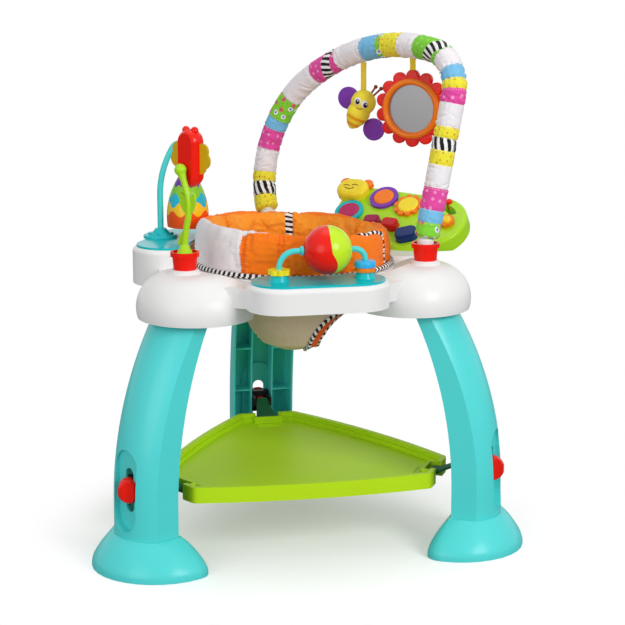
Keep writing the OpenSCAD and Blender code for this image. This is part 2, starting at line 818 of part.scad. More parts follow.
module lobe(inset, low) {
    z0 = lobe_bot - low;
    rotate_extrude() {
        translate([0, z0]) square([lobe_flat, lobe_top - inset - z0]);
        intersection() {
            translate([lobe_flat, lobe_top - lobe_side]) circle(lobe_side - inset);
            translate([lobe_flat - past, z0]) square([lobe_side + past, lobe_top - z0]);
        }
    }
}

module station_section(k, inset, low) {
    r = station_end - inset;
    edge = max(station_edge - inset, 1);
    z0 = station_bot - low;
    h = station_tops[k] - inset - z0;
    translate([0, z0]) {
        square([r - edge, h]);
        square([r, h - edge]);
        translate([r - edge, h - edge]) circle(edge);
    }
}

module station(k, inset, low) {
    for (s = [-1, 1]) translate([0, s * station_half, 0]) rotate_extrude() station_section(k, inset, low);
    translate([0, station_half, 0]) rotate([90, 0, 0]) linear_extrude(2 * station_half) {
        station_section(k, inset, low);
        mirror([1, 0]) station_section(k, inset, low);
    }
}

// All that lies over the slope from a lobe's top down to the seat
module seat_slope(inset) {
    rotate_extrude() polygon([[0, ring_top - inset], [seat_clear, ring_top - inset],
                              [slope_r, lobe_top - inset], [slope_r, 2 * lobe_top], [0, 2 * lobe_top]]);
}

module tray_form(inset, low) {
    for (k = [0 : 2]) {
        difference() {
            rotate(leg_angle[k]) translate([lobe_r0, 0, 0]) lobe(inset, low);
            seat_slope(inset);
        }
        at_station(k) station(k, inset, low);
    }
    translate([0, 0, station_bot - low]) difference() {
        cylinder(r = ring_out - inset, h = ring_top - inset - station_bot + low);
        translate([0, 0, -past]) cylinder(r = opening_r - past, h = ring_top);
    }
}

// Raised seat for the piano, under its sloping back
module piano_rest() {
    intersection() {
        at_station(right) translate([10, 0, station_top - past]) cylinder(r = 30, h = 60);
        piano_place() translate([-200, -200, -piano_t - 200]) cube([400, 400, 200]);
    }
}

module tray() {
    color(white) difference() {
        union() {
            difference() {
                tray_form(0, 0);
                difference() {
                    tray_form(tray_wall, past);
                    cylinder(r = opening_r + tray_wall, h = lobe_top);
                    translate([0, 0, ring_top - tray_wall])
                        cylinder(r = seat_clear + tray_wall, h = lobe_top);
                }
            }
            for (k = [0 : 2]) {
                at_leg(k) translate([peg_x, 0, leg_top_z])
                    cylinder(d = peg_d + 12, h = lobe_top - tray_wall / 2 - leg_top_z);
                at_cup(k) translate([0, 0, -plinth_h - past])
                    cylinder(d1 = cup_base_d + 14, d2 = cup_base_d + 5, h = plinth_h + past);
            }
            piano_rest();
        }
        translate([0, 0, ring_top]) cylinder(r = seat_clear, h = lobe_top);
        cylinder(r = opening_r, h = lobe_top);
        cylinder(r = opening_r + tray_wall + past, h = ring_top - ring_wall_h);
        for (k = [0 : 2]) {
            at_leg(k) translate([peg_x, 0, leg_top_z - past])
                cylinder(d = peg_d + 2 * snug, h = peg_len + past + snug);
            at_cup(k) translate([0, 0, -spigot_len - gap])
                cylinder(d = spigot_d + 2 * snug, h = spigot_len + 2 * past);
        }
    }
}

// Cups

module cup(k, bore) {
    color(red) at_cup(k) difference() {
        union() {
            translate([0, 0, -spigot_len]) cylinder(d = spigot_d, h = spigot_len + past);
            cylinder(d1 = cup_base_d, d2 = cup_neck_d, h = cup_h - cup_lip_h + past / 2);
            translate([0, 0, cup_h - cup_lip_h]) cylinder(d = cup_lip_d, h = cup_lip_h);
        }
        translate([0, 0, cup_h - socket_deep]) cylinder(d = bore + 2 * snug, h = socket_deep + past);
        translate([0, 0, cup_h - 4]) cylinder(d = cup_lip_d - 7, h = 4 + past);
    }
}

// Toy bar

module at_bar() {
    translate([cup_r / 2 * cos(30), cup_r / 2 * sin(30), bar_base]) rotate(-60) rotate([90 - bar_lean, 0, 0])
        children();
}

module bar_core() {
    color(white) {
        at_bar() chain_skin(bar_runs, bar_p0, bar_d / 2, bar_rings);
        for (k = [1, 2]) at_cup(k) translate([0, 0, cup_h - socket_deep + gap])
            puck(plug_d / 2, socket_deep + 7 - gap, 3);
    }
}

module bar_sleeve() {
    rings = 2 * patches;
    length = bar_length - 2 * sleeve_end;
    color(orange) at_bar() difference() {
        skin([for (i = [0 : rings])
            chain_ring(bar_runs, bar_p0, sleeve_end + length * i / rings,
                       sleeve_d / 2 - (i % 2 == 0 ? seam_in : 0), sleeve_sides)]);
        skin([for (i = [0 : rings])
            chain_ring(bar_runs, bar_p0, sleeve_end - past + (length + 2 * past) * i / rings,
                       sleeve_bore, sleeve_sides)]);
    }
}

// Seat

module seat_ring() {
    tube = opening_r - gap;
    foot_z = ring_top - ring_wall_h - 4.5;
    color(white) {
        translate([0, 0, foot_z]) difference() {
            cylinder(r = tube, h = flange_z + flange_t - foot_z);
            translate([0, 0, -past]) cylinder(r = ring_in, h = ring_top);
        }
        translate([0, 0, flange_z]) difference() {
            cylinder(r = opening_r + flange_w, h = flange_t);
            translate([0, 0, -past]) cylinder(r = ring_in, h = flange_t + 2 * past);
        }
        for (i = [0 : 5]) rotate(60 * i) translate([tube - 2, -8, foot_z]) cube([5.2, 16, 4]);
    }
}

// Section of the padded wall at angle a: a crowned cushion, drawn in at each channel
function wall_section(a) =
    let (
        drawn = channel_in * pow(abs(cos(a * channels / 2)), 6),
        h = wall_h * (1 + 0.12 * cos(a - 200)),
        shape = [[0.88, 0], [0.45, 0], [0.03, 0], [0.0, 0.25], [0.0, 0.53], [0.1, 0.82], [0.37, 0.99],
                 [0.68, 0.99], [0.93, 0.82], [1.0, 0.5], [0.95, 0.22]]
    )
    [for (p = shape) let (r = wall_r - p[0] * wall_pad - (p[0] < 0.2 && p[1] > 0.1 ? drawn : 0))
        [r * cos(a), r * sin(a), wall_z + p[1] * h - (p[1] > 0.9 ? drawn : 0)]];

module seat_cover() {
    steps = 48;
    color(orange) skin([for (i = [0 : steps - 1]) wall_section(360 * i / steps)], loop = true);
}

module seat_piping() {
    color(black) translate([0, 0, flange_z + flange_t + gap + piping_d / 2]) rotate_extrude()
        translate([piping_r, 0]) circle(d = piping_d);
}

module seat_sling() {
    top = wall_z - gap;
    drop = top - sling_z;
    shape = [[1, 0], [0.947, 0.2], [0.807, 0.41], [0.666, 0.58], [0.552, 0.755],
        [0.42, 0.9], [0.176, 0.985], [0, 1]];
    outer = [for (p = shape) [p[0] * sling_rim, p[1]]];
    color("#E6E2DA") difference() {
        rotate_extrude() polygon(concat(
            [for (p = outer) [p[0], top - p[1] * drop]],
            [for (i = [len(outer) - 1 : -1 : 0]) [max(outer[i][0] - sling_t, 0),
                top - outer[i][1] * drop + (i == 0 ? 0 : sling_t)]]));
        for (s = [-1, 1]) rotate(seat_front + s * hole_turn) translate([0.77 * leg_hole_d, 0, sling_z + 34])
            rotate([0, -45, 0]) cylinder(d = leg_hole_d, h = 130, center = true);
    }
}

// Front ball toy

module station_plate(k) {
    difference() {
        at_station(k) translate([0, 0, station_tops[k]]) linear_extrude(plate_t)
            oval(station_half, plate_end);
        cylinder(r = seat_clear + 1, h = 2 * lobe_top);
    }
}

module ball_plate() {
    color(dark_teal) difference() {
        union() {
            station_plate(front);
            at_station(front) for (y = [-post_left, post_right]) translate([0, y, plate_top - past])
                cylinder(d1 = 31, d2 = 22, h = boss_h + past);
        }
        at_station(front) for (y = [-post_left, post_right]) translate([0, y, plate_top])
            cylinder(d = rod_d + 2 * snug, h = boss_h + past);
    }
}

module ball_rod() {
    color(turquoise) at_station(front) {
        rotate([90, 0, 90]) chain_rod(rod_runs, [-post_left, plate_top, 90], rod_d);
        translate([0, ball_shift - ball_d / 2 - gap, ball_z]) rotate([90, 0, 0])
            cylinder(d = rod_d + 5, h = 4);
    }
}

// What lies left of the S-shaped seam through the ball, across the rod
module ball_half_outline(grow) {
    reach = 0.6 * ball_d;
    steps = 8;
    seam = [for (i = [-steps : steps]) let (t = i / steps)
        [grow - ball_d * sin(180 * t) * (t > 0 ? 0.03 : 0.125), reach * t]];
    polygon(concat(seam, [[-ball_d, reach], [-ball_d, -reach]]));
}

module ball_half(side) {
    at_station(front) difference() {
        translate([0, ball_shift, ball_z]) {
            if (side == 0) intersection() {
                sphere(d = ball_d);
                across_x(-ball_d, ball_d) ball_half_outline(-0.05);
            }
            else difference() {
                sphere(d = ball_d);
                across_x(-ball_d, ball_d) ball_half_outline(0.05);
            }
        }
        translate([0, ball_shift, ball_z]) rotate([90, 0, 0])
            cylinder(d = rod_d + 2 * gap, h = 2 * ball_d, center = true);
    }
}

module ball_red() { color(red) ball_half(0); }
module ball_lime() { color(lime) ball_half(1); }

module bead(y, z) {
    at_station(front) translate([0, y, z]) difference() {
        children();
        translate([0, 0, -past]) cylinder(d = rod_d + 2 * gap, h = ring_bead_h + 2 * past);
    }
}

module bead_yellow() { color(yellow) bead(-post_left, bead_z) linear_extrude(bead_h) flower(bead_d, 7, 11); }
module bead_orange() { color(orange) bead(post_right, bead_z) puck(bead_d / 2 - 1, disc_h, 2.5); }
module bead_blue() {
    color(blue) bead(post_right, bead_z + disc_h + gap) puck(bead_d / 2 - 0.5, ring_bead_h, 4);
}

// Left egg toy

module at_hook() {
    rotate(station_angle[left]) translate([hook_r, 0, 0]) rotate(hook_turn - station_angle[left])
        children();
}

module egg_base() {
    color(dark_teal) difference() {
        union() {
            station_plate(left);
            at_hook() {
                translate([0, 0, hook_base - past]) puck(26, 4 + past, 3);
                translate([0, 0, hook_base]) cylinder(d1 = 37, d2 = hook_d + 7, h = 13);
                for (i = [0 : 5]) rotate(60 * i) translate([14, 0, hook_base])
                    cylinder(d1 = 15, d2 = 9, h = 7);
            }
        }
        at_hook() translate([0, 0, hook_bottom - snug]) cylinder(d = hook_d + 2 * snug, h = 30);
    }
}

module egg_hook() {
    color(turquoise) at_hook() {
        rotate([90, 0, 0]) chain_skin(hook_runs, [0, hook_bottom, 90], hook_d / 2 - 0.01, 60);
        translate([hook_over, 0, egg_top - hook_in_egg]) cylinder(d = hook_d, h = hook_in_egg + 6);
    }
}

module egg_toy() {
    cap_z = egg_h - egg_cap_r;
    far = egg_side_r / (egg_side_r - egg_cap_r);
    color(purple) at_hook() translate([hook_over, 0, egg_z]) difference() {
        rotate_extrude() {
            intersection() {
                translate([-egg_side_d, egg_belly]) circle(egg_side_r, $fn = 200);
                square([egg_d, egg_belly + egg_rise * far]);
            }
            intersection() {
                translate([0, cap_z]) circle(egg_cap_r);
                translate([0, cap_z - past]) square(egg_cap_r + past);
            }
        }
        translate([0, 0, egg_h - hook_in_egg - gap])
            cylinder(d = hook_d + 2 * fit, h = hook_in_egg + 2 * past);
    }
}

// Flower-pot toy

module at_stem() {
    rotate(leg_angle[0]) translate([cup_r, 0, 0]) rotate(stem_turn - leg_angle[0]) children();
}

// Along the spin axis, from the hub
module at_spin() { at_stem() translate([stem_end[0], 0, stem_end[1]]) rotate([0, 90, 90]) children(); }

module leaf(len, wide) {
    r = (len * len / 4 + wide * wide / 4) / wide;
    intersection() {
        translate([r - wide / 2, len / 2]) circle(r);
        translate([wide / 2 - r, len / 2]) circle(r);
    }
}

module bird_stem() {
    color(lime) {
        at_stem() {
            rotate([90, 0, 0]) {
                chain_skin(stem_runs, [0, stem_foot, 90], stem_d / 2, 20);
                translate([stem_end[0], stem_end[1], 0]) rotate(stem_end[2] + 180) rotate([0, 90, 0])
                    cylinder(d1 = hub_d - 2, d2 = stem_d - 1, h = 17);
                for (p = leaf_at) translate([p[0], stem_foot + p[1], -wing_t / 2]) rotate(p[2])
                    linear_extrude(wing_t) leaf(p[3], p[4]);
            }
            translate([0, 0, stem_foot]) cylinder(d = stem_d + 4, h = socket_deep);
            translate([0, 0, cup_top - 4 + gap]) cylinder(d1 = 24, d2 = stem_d + 1, h = 14);
            translate([stem_end[0], 0, stem_end[1]]) sphere(d = hub_d);
        }
        at_spin() cylinder(d = axle_d, h = axle_reach - 4);
    }
}

// The toy's body without its bore, its long side upright
module body_form() {
    at_spin() translate([-body_lift, 0, hub_d / 2 + gap]) intersection() {
        rotate([0, -90, 0]) translate([body_t / 2, 0, 0]) {
            cylinder(d = body_w, h = body_h - body_w, center = true);
            for (s = [-1, 1]) translate([0, 0, s * (body_h - body_w) / 2]) sphere(d = body_w);
            for (s = [-1, 1]) translate([0, s * 8, body_h / 2 - 2]) sphere(d = 11);
        }
        translate([-body_h, -body_w, 0]) cube([2 * body_h, 2 * body_w, body_t]);
    }
}

module bird_body() {
    color(red) difference() {
        body_form();
        at_spin() translate([0, 0, hub_d / 2])
            cylinder(d = axle_d + 2 * fit, h = axle_reach - 4 - hub_d / 2 + gap);
    }
}

module bird_wings() {
    color(amber) difference() {
        at_spin() translate([-body_lift - 2, 0, hub_d / 2 + gap + (body_t - wing_t) / 2])
            linear_extrude(wing_t)
            for (s = [-1, 1]) scale([1, s]) for (p = [[-9, 22, 11], [4, 24, 12], [14, 19, 9]])
                translate([p[0], p[1]]) circle(p[2]);
        body_form();
    }
}

// Piano toy

module piano_place() {
    translate([piano_r * cos(30), piano_r * sin(30), piano_z]) rotate(piano_turn)
        rotate([piano_tilt, 0, 0]) children();
}

module at_face(p, turn = 0) { piano_place() translate([p[0], p[1], 0]) rotate(turn) children(); }

module key_outline(i, grow) {
    l = key_l * key_size[i];
    w = key_w * key_size[i];
    r = w / 2 - 3;
    for (x = [-1, 1]) for (y = [-1, 1]) translate([x * (l / 2 - r), y * (w / 2 - r)]) circle(r + grow);
    square([l + 2 * grow, w - 2 * r], center = true);
    square([l - 2 * r, w + 2 * grow], center = true);
}

module piano_base() {
    slot_out = handle_r - 15;
    color(lime) difference() {
        piano_place() translate([0, 0, -piano_t]) hull() {
            translate([handle_at[0], handle_at[1], 0]) puck(handle_r, piano_t, 6, $fn = 48);
            translate([-70, 24, 0]) puck(44, piano_t, 9, $fn = 40);
            translate([24, -38, 0]) puck(28, piano_t, 9, $fn = 32);
        }
        translate([0, 0, station_top - 100]) cylinder(r = 2 * ring_out, h = 100);
        cylinder(r = seat_clear + 1, h = 2 * lobe_top);
        at_face(handle_at) translate([0, 0, -piano_t - past]) linear_extrude(piano_t + 2 * past)
            intersection() {
            difference() {
                circle(slot_out);
                circle(slot_out - 12);
            }
            polygon([[0, 0], [80, 46], [80, 120], [8, 120]]);
        }
        for (i = [0 : 2]) {
            at_face(pad_at[i]) translate([0, 0, -pocket]) cylinder(d = pad_d + 2 * gap, h = pocket + past);
            at_face(key_at[i], key_turn[i]) translate([0, 0, -key_pocket]) linear_extrude(key_pocket + past)
                key_outline(i, gap);
        }
        at_face(button_at) translate([0, 0, -pocket]) cylinder(d = button_d + 2 * gap, h = pocket + past);
        at_face(dial_at) translate([0, 0, -pocket]) cylinder(d = 8 + 2 * fit, h = pocket + past);
    }
}

module pad_rim(i) {
    at_face(pad_at[i]) translate([0, 0, seated]) difference() {
        linear_extrude(5) {
            if (i == 2) flower(pad_rim_d, 10, pad_rim_d - pad_d - 3);
            else circle(d = pad_rim_d);
        }
        translate([0, 0, -past]) cylinder(d = pad_d + 2 * gap, h = 5 + 2 * past);
    }
}

module pad(i) {
    at_face(pad_at[i]) translate([0, 0, -pocket + pad_travel + gap])
        puck(pad_d / 2, pocket - pad_travel - gap + 7, 3);
}

module key(i) {
    h = key_pocket - key_travel - gap + key_rise;
    at_face(key_at[i], key_turn[i]) translate([0, 0, -key_pocket + key_travel + gap]) {
        linear_extrude(h - 3) key_outline(i, 0);
        linear_extrude(h - 1.2) key_outline(i, -1.2);
        linear_extrude(h) key_outline(i, -3);
    }
}

module piano_button() {
    color(red) at_face(button_at) translate([0, 0, -pocket + key_travel + gap])
        puck(button_d / 2, pocket - key_travel - gap + 4, 2);
}

module piano_knob() {
    color(orange) at_face(dial_at) {
        translate([0, 0, gap]) {
            linear_extrude(7) flower(dial_d, 8, 9);
            puck(dial_d / 2 - 5, 11, 3);
        }
        translate([0, 0, gap - pocket]) cylinder(d = 8, h = pocket);
    }
}

// A puck drawn out sideways by half to either side
module long_puck(half, r, h, edge) {
    for (s = [-1, 1]) translate([s * half, 0, 0]) puck(r, h, edge);
    across_x(-half, half) {
        translate([edge - r, 0]) square([2 * (r - edge), h]);
        translate([-r, 0]) square([2 * r, h - edge]);
        for (s = [-1, 1]) translate([s * (r - edge), h - edge]) circle(edge);
    }
}

module piano_head() {
    color(yellow) at_face(head_at) translate([0, 0, seated]) long_puck(head_half, head_r, 15, 7);
}

module piano_ears() {
    color(orange) at_face(head_at) difference() {
        for (s = [-1, 1]) translate([s * 19, 16, seated]) puck(9, 9, 3);
        linear_extrude(20) {
            for (s = [-1, 1]) translate([s * head_half, 0]) circle(head_r);
            square([2 * head_half, 2 * head_r], center = true);
        }
    }
}

// Hanging toys

// Under the sleeve at a distance along the bar's chord from its middle
function bar_s(x, lo = 0, hi = 1, n = 0) =
    let (m = (lo + hi) / 2)
    n > 24 ? m * bar_length
        : chain_at(bar_runs, bar_p0, m * bar_length)[0] < x ? bar_s(x, m, hi, n + 1) : bar_s(x, lo, m, n + 1);
function bar_point(x) =
    let (p = chain_at(bar_runs, bar_p0, bar_s(x * bar_k)))
    [cup_r / 2 * cos(30) + p[0] * cos(60) + p[1] * sin(bar_lean) * cos(30),
     cup_r / 2 * sin(30) - p[0] * sin(60) + p[1] * sin(bar_lean) * sin(30),
     bar_base + p[1] * cos(bar_lean) - sleeve_d / 2 - hang_gap];
bee_hang = bar_point(bee_along);
mirror_hang = bar_point(mirror_along);
bee_z = bee_hang[2] - bee_drop;
mirror_z = mirror_hang[2] - mirror_drop;

module at_bee() { translate([bee_hang[0], bee_hang[1], bee_z]) rotate(hang_turn) children(); }
module at_mirror() { translate([mirror_hang[0], mirror_hang[1], mirror_z]) rotate(hang_turn) children(); }

// A strap with a round upper edge, which it swings about
module ribbon(bottom, top) {
    r = ribbon_t / 2;
    translate([-ribbon_w / 2, -r, bottom]) cube([ribbon_w, ribbon_t, top - r - bottom]);
    translate([0, 0, top - r]) rotate([0, 90, 0]) cylinder(r = r, h = ribbon_w, center = true);
}

module bee_strap() { color(yellow) at_bee() ribbon(bee_head_r - gap, bee_hang[2] - bee_z - bee_ease); }

module bee_form() {
    difference() {
        sphere(bee_head_r);
        translate([-ribbon_w, -ribbon_w, bee_head_r - gap]) cube(4 * ribbon_w);
    }
    translate([-4, -2, -10]) rotate([0, 28, 0]) for (i = [0 : 3])
        translate([0, 0, -6 - 7 * i]) sphere(17.5 - 1.2 * i - 0.8 * i * i);
    for (s = [0, 1]) translate([9 + 6 * s, 2, 10]) rotate([0, 36 + 12 * s, 0]) {
        cylinder(d = 3, h = 17);
        translate([0, 0, 17]) sphere(d = 6);
    }
}

module bee_body() { color(yellow) at_bee() bee_form(); }

module bee_wings() {
    color(purple) at_bee() difference() {
        for (p = [[-27, 5], [14, -41]]) translate([p[0], 7, p[1]]) rotate([90, 0, 0])
            translate([0, 0, -2]) puck(bee_wing_r, 4, 1.5);
        bee_form();
    }
}

module mirror_strap() { color(yellow) at_mirror() ribbon(mirror_tab, mirror_hang[2] - mirror_z); }

module mirror_frame() {
    color(red) at_mirror() difference() {
        union() {
            rotate([90, 0, 0]) translate([0, 0, -5]) {
                cylinder(r = scallop_ring, h = 8);
                for (i = [0 : scallops - 1]) rotate(90 + i * 360 / scallops) translate([scallop_ring, 0, 0])
                    puck(scallop_r, 8, 3);
            }
        }
        rotate([90, 0, 0]) cylinder(r = mirror_r + 6 + snug, h = 20);
        translate([-ribbon_w, -10, mirror_tab]) cube([2 * ribbon_w, 20, 20]);
    }
}

module mirror_ring() {
    color(orange) at_mirror() rotate([90, 0, 0]) rotate_extrude() {
        translate([mirror_r - 3, 2.2 + gap]) square([9, 3]);
        translate([mirror_r + snug, 0]) square([6 - snug, 4]);
        translate([mirror_r + 1.5, 7]) circle(4.2);
    }
}

module mirror_glass() { color("#C8CCD0") at_mirror() rotate([90, 0, 0]) cylinder(r = mirror_r, h = 2.2); }

pad_rim_names = ["pad_rim_teal", "pad_rim_purple", "pad_rim_orange"];
pad_rim_colours = [dark_teal, purple, orange];
pad_names = ["pad_pink", "pad_orange", "pad_yellow"];
pad_colours = [pink, orange, yellow];
key_names = ["key_pink", "key_red", "key_blue"];
key_colours = [pink, red, blue];
cup_bores = [stem_d + 4, plug_d, plug_d];

tray();
for (k = [0 : 2]) {
    at_leg(k) leg();
    at_leg(k) foot();
    at_leg(k) knob();
    at_leg(k) slider();
    at_leg(k) strap();
    cup(k, cup_bores[k]);
    color(pad_rim_colours[k]) pad_rim(k);
    color(pad_colours[k]) pad(k);
    color(key_colours[k]) key(k);
}
platform();
bar_core();
bar_sleeve();
seat_ring();
seat_cover();
seat_piping();
seat_sling();
ball_plate();
ball_rod();
ball_red();
ball_lime();
bead_yellow();
bead_orange();
bead_blue();
egg_base();
egg_hook();
egg_toy();
bird_stem();
bird_body();
bird_wings();
piano_base();
piano_head();
piano_ears();
piano_button();
piano_knob();
bee_strap();
bee_body();
bee_wings();
mirror_strap();
mirror_frame();
mirror_ring();
mirror_glass();
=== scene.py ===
"""Looks of the baby jumper: studio, plastics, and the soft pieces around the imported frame."""
import math

import bpy
import numpy as np
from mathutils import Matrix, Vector


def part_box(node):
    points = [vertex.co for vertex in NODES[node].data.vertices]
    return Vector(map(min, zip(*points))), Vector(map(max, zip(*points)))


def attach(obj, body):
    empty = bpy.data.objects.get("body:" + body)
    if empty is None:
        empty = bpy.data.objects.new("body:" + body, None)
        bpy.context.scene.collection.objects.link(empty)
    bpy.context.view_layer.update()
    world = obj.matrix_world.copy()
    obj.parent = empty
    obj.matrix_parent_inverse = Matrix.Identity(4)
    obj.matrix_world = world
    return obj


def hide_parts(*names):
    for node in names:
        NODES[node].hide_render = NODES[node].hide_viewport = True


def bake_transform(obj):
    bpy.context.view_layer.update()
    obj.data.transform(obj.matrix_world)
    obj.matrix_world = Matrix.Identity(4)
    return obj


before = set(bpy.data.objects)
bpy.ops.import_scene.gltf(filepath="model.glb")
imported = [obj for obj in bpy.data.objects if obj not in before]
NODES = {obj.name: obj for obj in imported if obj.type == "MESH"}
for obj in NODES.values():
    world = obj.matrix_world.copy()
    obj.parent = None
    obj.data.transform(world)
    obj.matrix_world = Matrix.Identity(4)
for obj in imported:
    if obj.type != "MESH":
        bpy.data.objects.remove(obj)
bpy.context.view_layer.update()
MM = 0.001
rng = np.random.default_rng(11)


# Shader helpers

def lin(code):
    """Linear colour from a hex code."""
    c = [int(code[i:i + 2], 16) / 255 for i in (1, 3, 5)]
    return tuple(x / 12.92 if x <= 0.04045 else ((x + 0.055) / 1.055) ** 2.4 for x in c) + (1.0,)


class Net:
    """Builds one node tree with few words."""

    def __init__(self, tree):
        self.tree = tree

    def new(self, kind, **settings):
        node = self.tree.nodes.new(kind)
        for key, value in settings.items():
            setattr(node, key, value)
        return node

    def put(self, socket, value):
        if isinstance(value, bpy.types.NodeSocket):
            self.tree.links.new(value, socket)
        else:
            socket.default_value = value

    def math(self, op, a, b=None, c=None):
        node = self.new("ShaderNodeMath", operation=op)
        for i, value in enumerate((a, b, c)):
            if value is not None:
                self.put(node.inputs[i], value)
        return node.outputs[0]

    def mix(self, factor, a, b):
        node = self.new("ShaderNodeMix", data_type="RGBA")
        self.put(node.inputs["Factor"], factor)
        self.put(node.inputs["A"], a)
        self.put(node.inputs["B"], b)
        return node.outputs["Result"]

    def noise(self, vector, scale, detail=2.0, rough=0.5):
        node = self.new("ShaderNodeTexNoise")
        self.put(node.inputs["Vector"], vector)
        self.put(node.inputs["Scale"], scale)
        self.put(node.inputs["Detail"], detail)
        self.put(node.inputs["Roughness"], rough)
        return node.outputs["Fac"]

    def coords(self, kind="Object"):
        return self.new("ShaderNodeTexCoord").outputs[kind]

    def split(self, vector):
        node = self.new("ShaderNodeSeparateXYZ")
        self.put(node.inputs[0], vector)
        return node.outputs

    def length(self, vector):
        node = self.new("ShaderNodeVectorMath", operation="LENGTH")
        self.put(node.inputs[0], vector)
        return node.outputs["Value"]

    def dot(self, vector, axis):
        node = self.new("ShaderNodeVectorMath", operation="DOT_PRODUCT")
        self.put(node.inputs[0], vector)
        node.inputs[1].default_value = tuple(axis)
        return node.outputs["Value"]

    def shade(self, color, value):
        node = self.new("ShaderNodeHueSaturation")
        self.put(node.inputs["Color"], color)
        self.put(node.inputs["Value"], value)
        return node.outputs[0]

    def bump(self, height, distance, strength):
        node = self.new("ShaderNodeBump")
        node.inputs["Distance"].default_value = distance
        self.put(node.inputs["Strength"], strength)
        self.put(node.inputs["Height"], height)
        return node.outputs[0]

    def sine(self, value, times=1.0, shift=0.0):
        return self.math("SINE", self.math("MULTIPLY_ADD", value, times, shift))

    def less(self, a, b):
        return self.math("LESS_THAN", a, b)

    def above(self, a, b):
        return self.math("GREATER_THAN", a, b)


def new_group(name, inputs, outputs):
    group = bpy.data.node_groups.new(name, "ShaderNodeTree")
    for title, kind, value in inputs:
        socket = group.interface.new_socket(title, in_out="INPUT", socket_type=kind)
        socket.default_value = value
    for title, kind in outputs:
        group.interface.new_socket(title, in_out="OUTPUT", socket_type=kind)
    net = Net(group)
    return group, net, net.new("NodeGroupInput").outputs, net.new("NodeGroupOutput").inputs


def make_moulded():
    """Moulded plastic: faint mottling, uneven gloss and a fine skin."""
    group, net, given, out = new_group(
        "moulded",
        [("Color", "NodeSocketColor", (1, 1, 1, 1)), ("Roughness", "NodeSocketFloat", 0.3),
         ("Mottle", "NodeSocketFloat", 0.05), ("Skin", "NodeSocketFloat", 0.1)],
        [("Color", "NodeSocketColor"), ("Roughness", "NodeSocketFloat"), ("Normal", "NodeSocketVector")])
    place = net.coords()
    broad = net.math("SUBTRACT", net.noise(place, 14.0, 3.0), 0.5)
    fine = net.noise(place, 900.0, 2.0)
    net.put(out["Color"], net.shade(given["Color"], net.math("MULTIPLY_ADD", broad, given["Mottle"], 1.0)))
    net.put(out["Roughness"], net.math("MULTIPLY_ADD", broad, 0.12, given["Roughness"]))
    net.put(out["Normal"], net.bump(fine, 0.0002, given["Skin"]))
    return group


def make_cloth():
    """Woven cloth: a fine weave, soft mottling and a slight crease."""
    group, net, given, out = new_group(
        "cloth",
        [("Color", "NodeSocketColor", (1, 1, 1, 1)), ("Mottle", "NodeSocketFloat", 0.15),
         ("Crease", "NodeSocketFloat", 0.4), ("Thread", "NodeSocketFloat", 1100.0)],
        [("Color", "NodeSocketColor"), ("Normal", "NodeSocketVector")])
    place = net.coords()
    x, y, z = net.split(place)[:3]
    warp = net.sine(net.math("ADD", x, y), given["Thread"])
    weft = net.sine(z, given["Thread"])
    weave = net.math("MULTIPLY", warp, weft)
    broad = net.noise(place, 28.0, 4.0, 0.6)
    shade = net.math("MULTIPLY_ADD", net.math("SUBTRACT", broad, 0.5), given["Mottle"],
                     net.math("MULTIPLY_ADD", weave, 0.03, 1.0))
    net.put(out["Color"], net.shade(given["Color"], shade))
    crease = net.noise(place, 60.0, 5.0, 0.55)
    height = net.math("MULTIPLY_ADD", weave, 0.06, crease)
    net.put(out["Normal"], net.bump(height, 0.004, given["Crease"]))
    return group


MOULDED = make_moulded()
CLOTH = make_cloth()


def material(name, group, color, values, shader):
    """A material with one effect group; color is a hex code or a function that builds a colour."""
    made = bpy.data.materials.new(name)
    made.use_nodes = True
    net = Net(made.node_tree)
    bsdf = made.node_tree.nodes["Principled BSDF"]
    effect = net.new("ShaderNodeGroup", node_tree=group)
    net.put(effect.inputs["Color"], color(net) if callable(color) else lin(color))
    for key, value in values.items():
        effect.inputs[key].default_value = value
    links = {"Color": "Base Color", "Roughness": "Roughness", "Normal": "Normal"}
    for title, socket in links.items():
        if title in effect.outputs:
            net.put(bsdf.inputs[socket], effect.outputs[title])
    for key, value in shader.items():
        bsdf.inputs[key].default_value = value
    made.diffuse_color = (0.5, 0.5, 0.5, 1) if callable(color) else lin(color)
    return made


def plastic(name, color, rough=0.3, mottle=0.05, skin=0.08, coat=0.12):
    return material(name, MOULDED, color, {"Roughness": rough, "Mottle": mottle, "Skin": skin},
                    {"Coat Weight": coat, "Coat Roughness": 0.12, "Specular IOR Level": 0.22})


def fabric(name, color, mottle=0.12, crease=0.35, thread=1100.0, sheen=0.12):
    return material(name, CLOTH, color, {"Mottle": mottle, "Crease": crease, "Thread": thread},
                    {"Roughness": 0.82, "Sheen Weight": sheen, "Specular IOR Level": 0.2})


# Printed patterns, drawn from a UV map in metres: u along the piece, v across it

def spots(net, step, size, jitter=0.5):
    """Mask of round spots scattered on the UV map."""
    place = net.new("ShaderNodeVectorMath", operation="SCALE")
    net.put(place.inputs[0], net.coords("UV"))
    place.inputs["Scale"].default_value = 1.0 / step
    cells = net.new("ShaderNodeTexVoronoi", voronoi_dimensions="2D")
    net.put(cells.inputs["Vector"], place.outputs[0])
    cells.inputs["Scale"].default_value = 1.0
    cells.inputs["Randomness"].default_value = jitter
    return net.less(cells.outputs["Distance"], size / step), cells.outputs["Color"]


def zebra(net, step, width, lean=0.0, across=False, wobble=0.25):
    """Mask of uneven bars; they run along u, or across it."""
    u, v = net.split(net.coords("UV"))[:2]
    run, side = (v, u) if across else (u, v)
    drift = net.noise(net.coords("UV"), 90.0, 2.0)
    place = net.math("MULTIPLY_ADD", run, lean, side)
    phase = net.math("MULTIPLY_ADD", place, 1.0 / step, net.math("MULTIPLY", drift, wobble))
    return net.less(net.math("FRACT", phase), width)


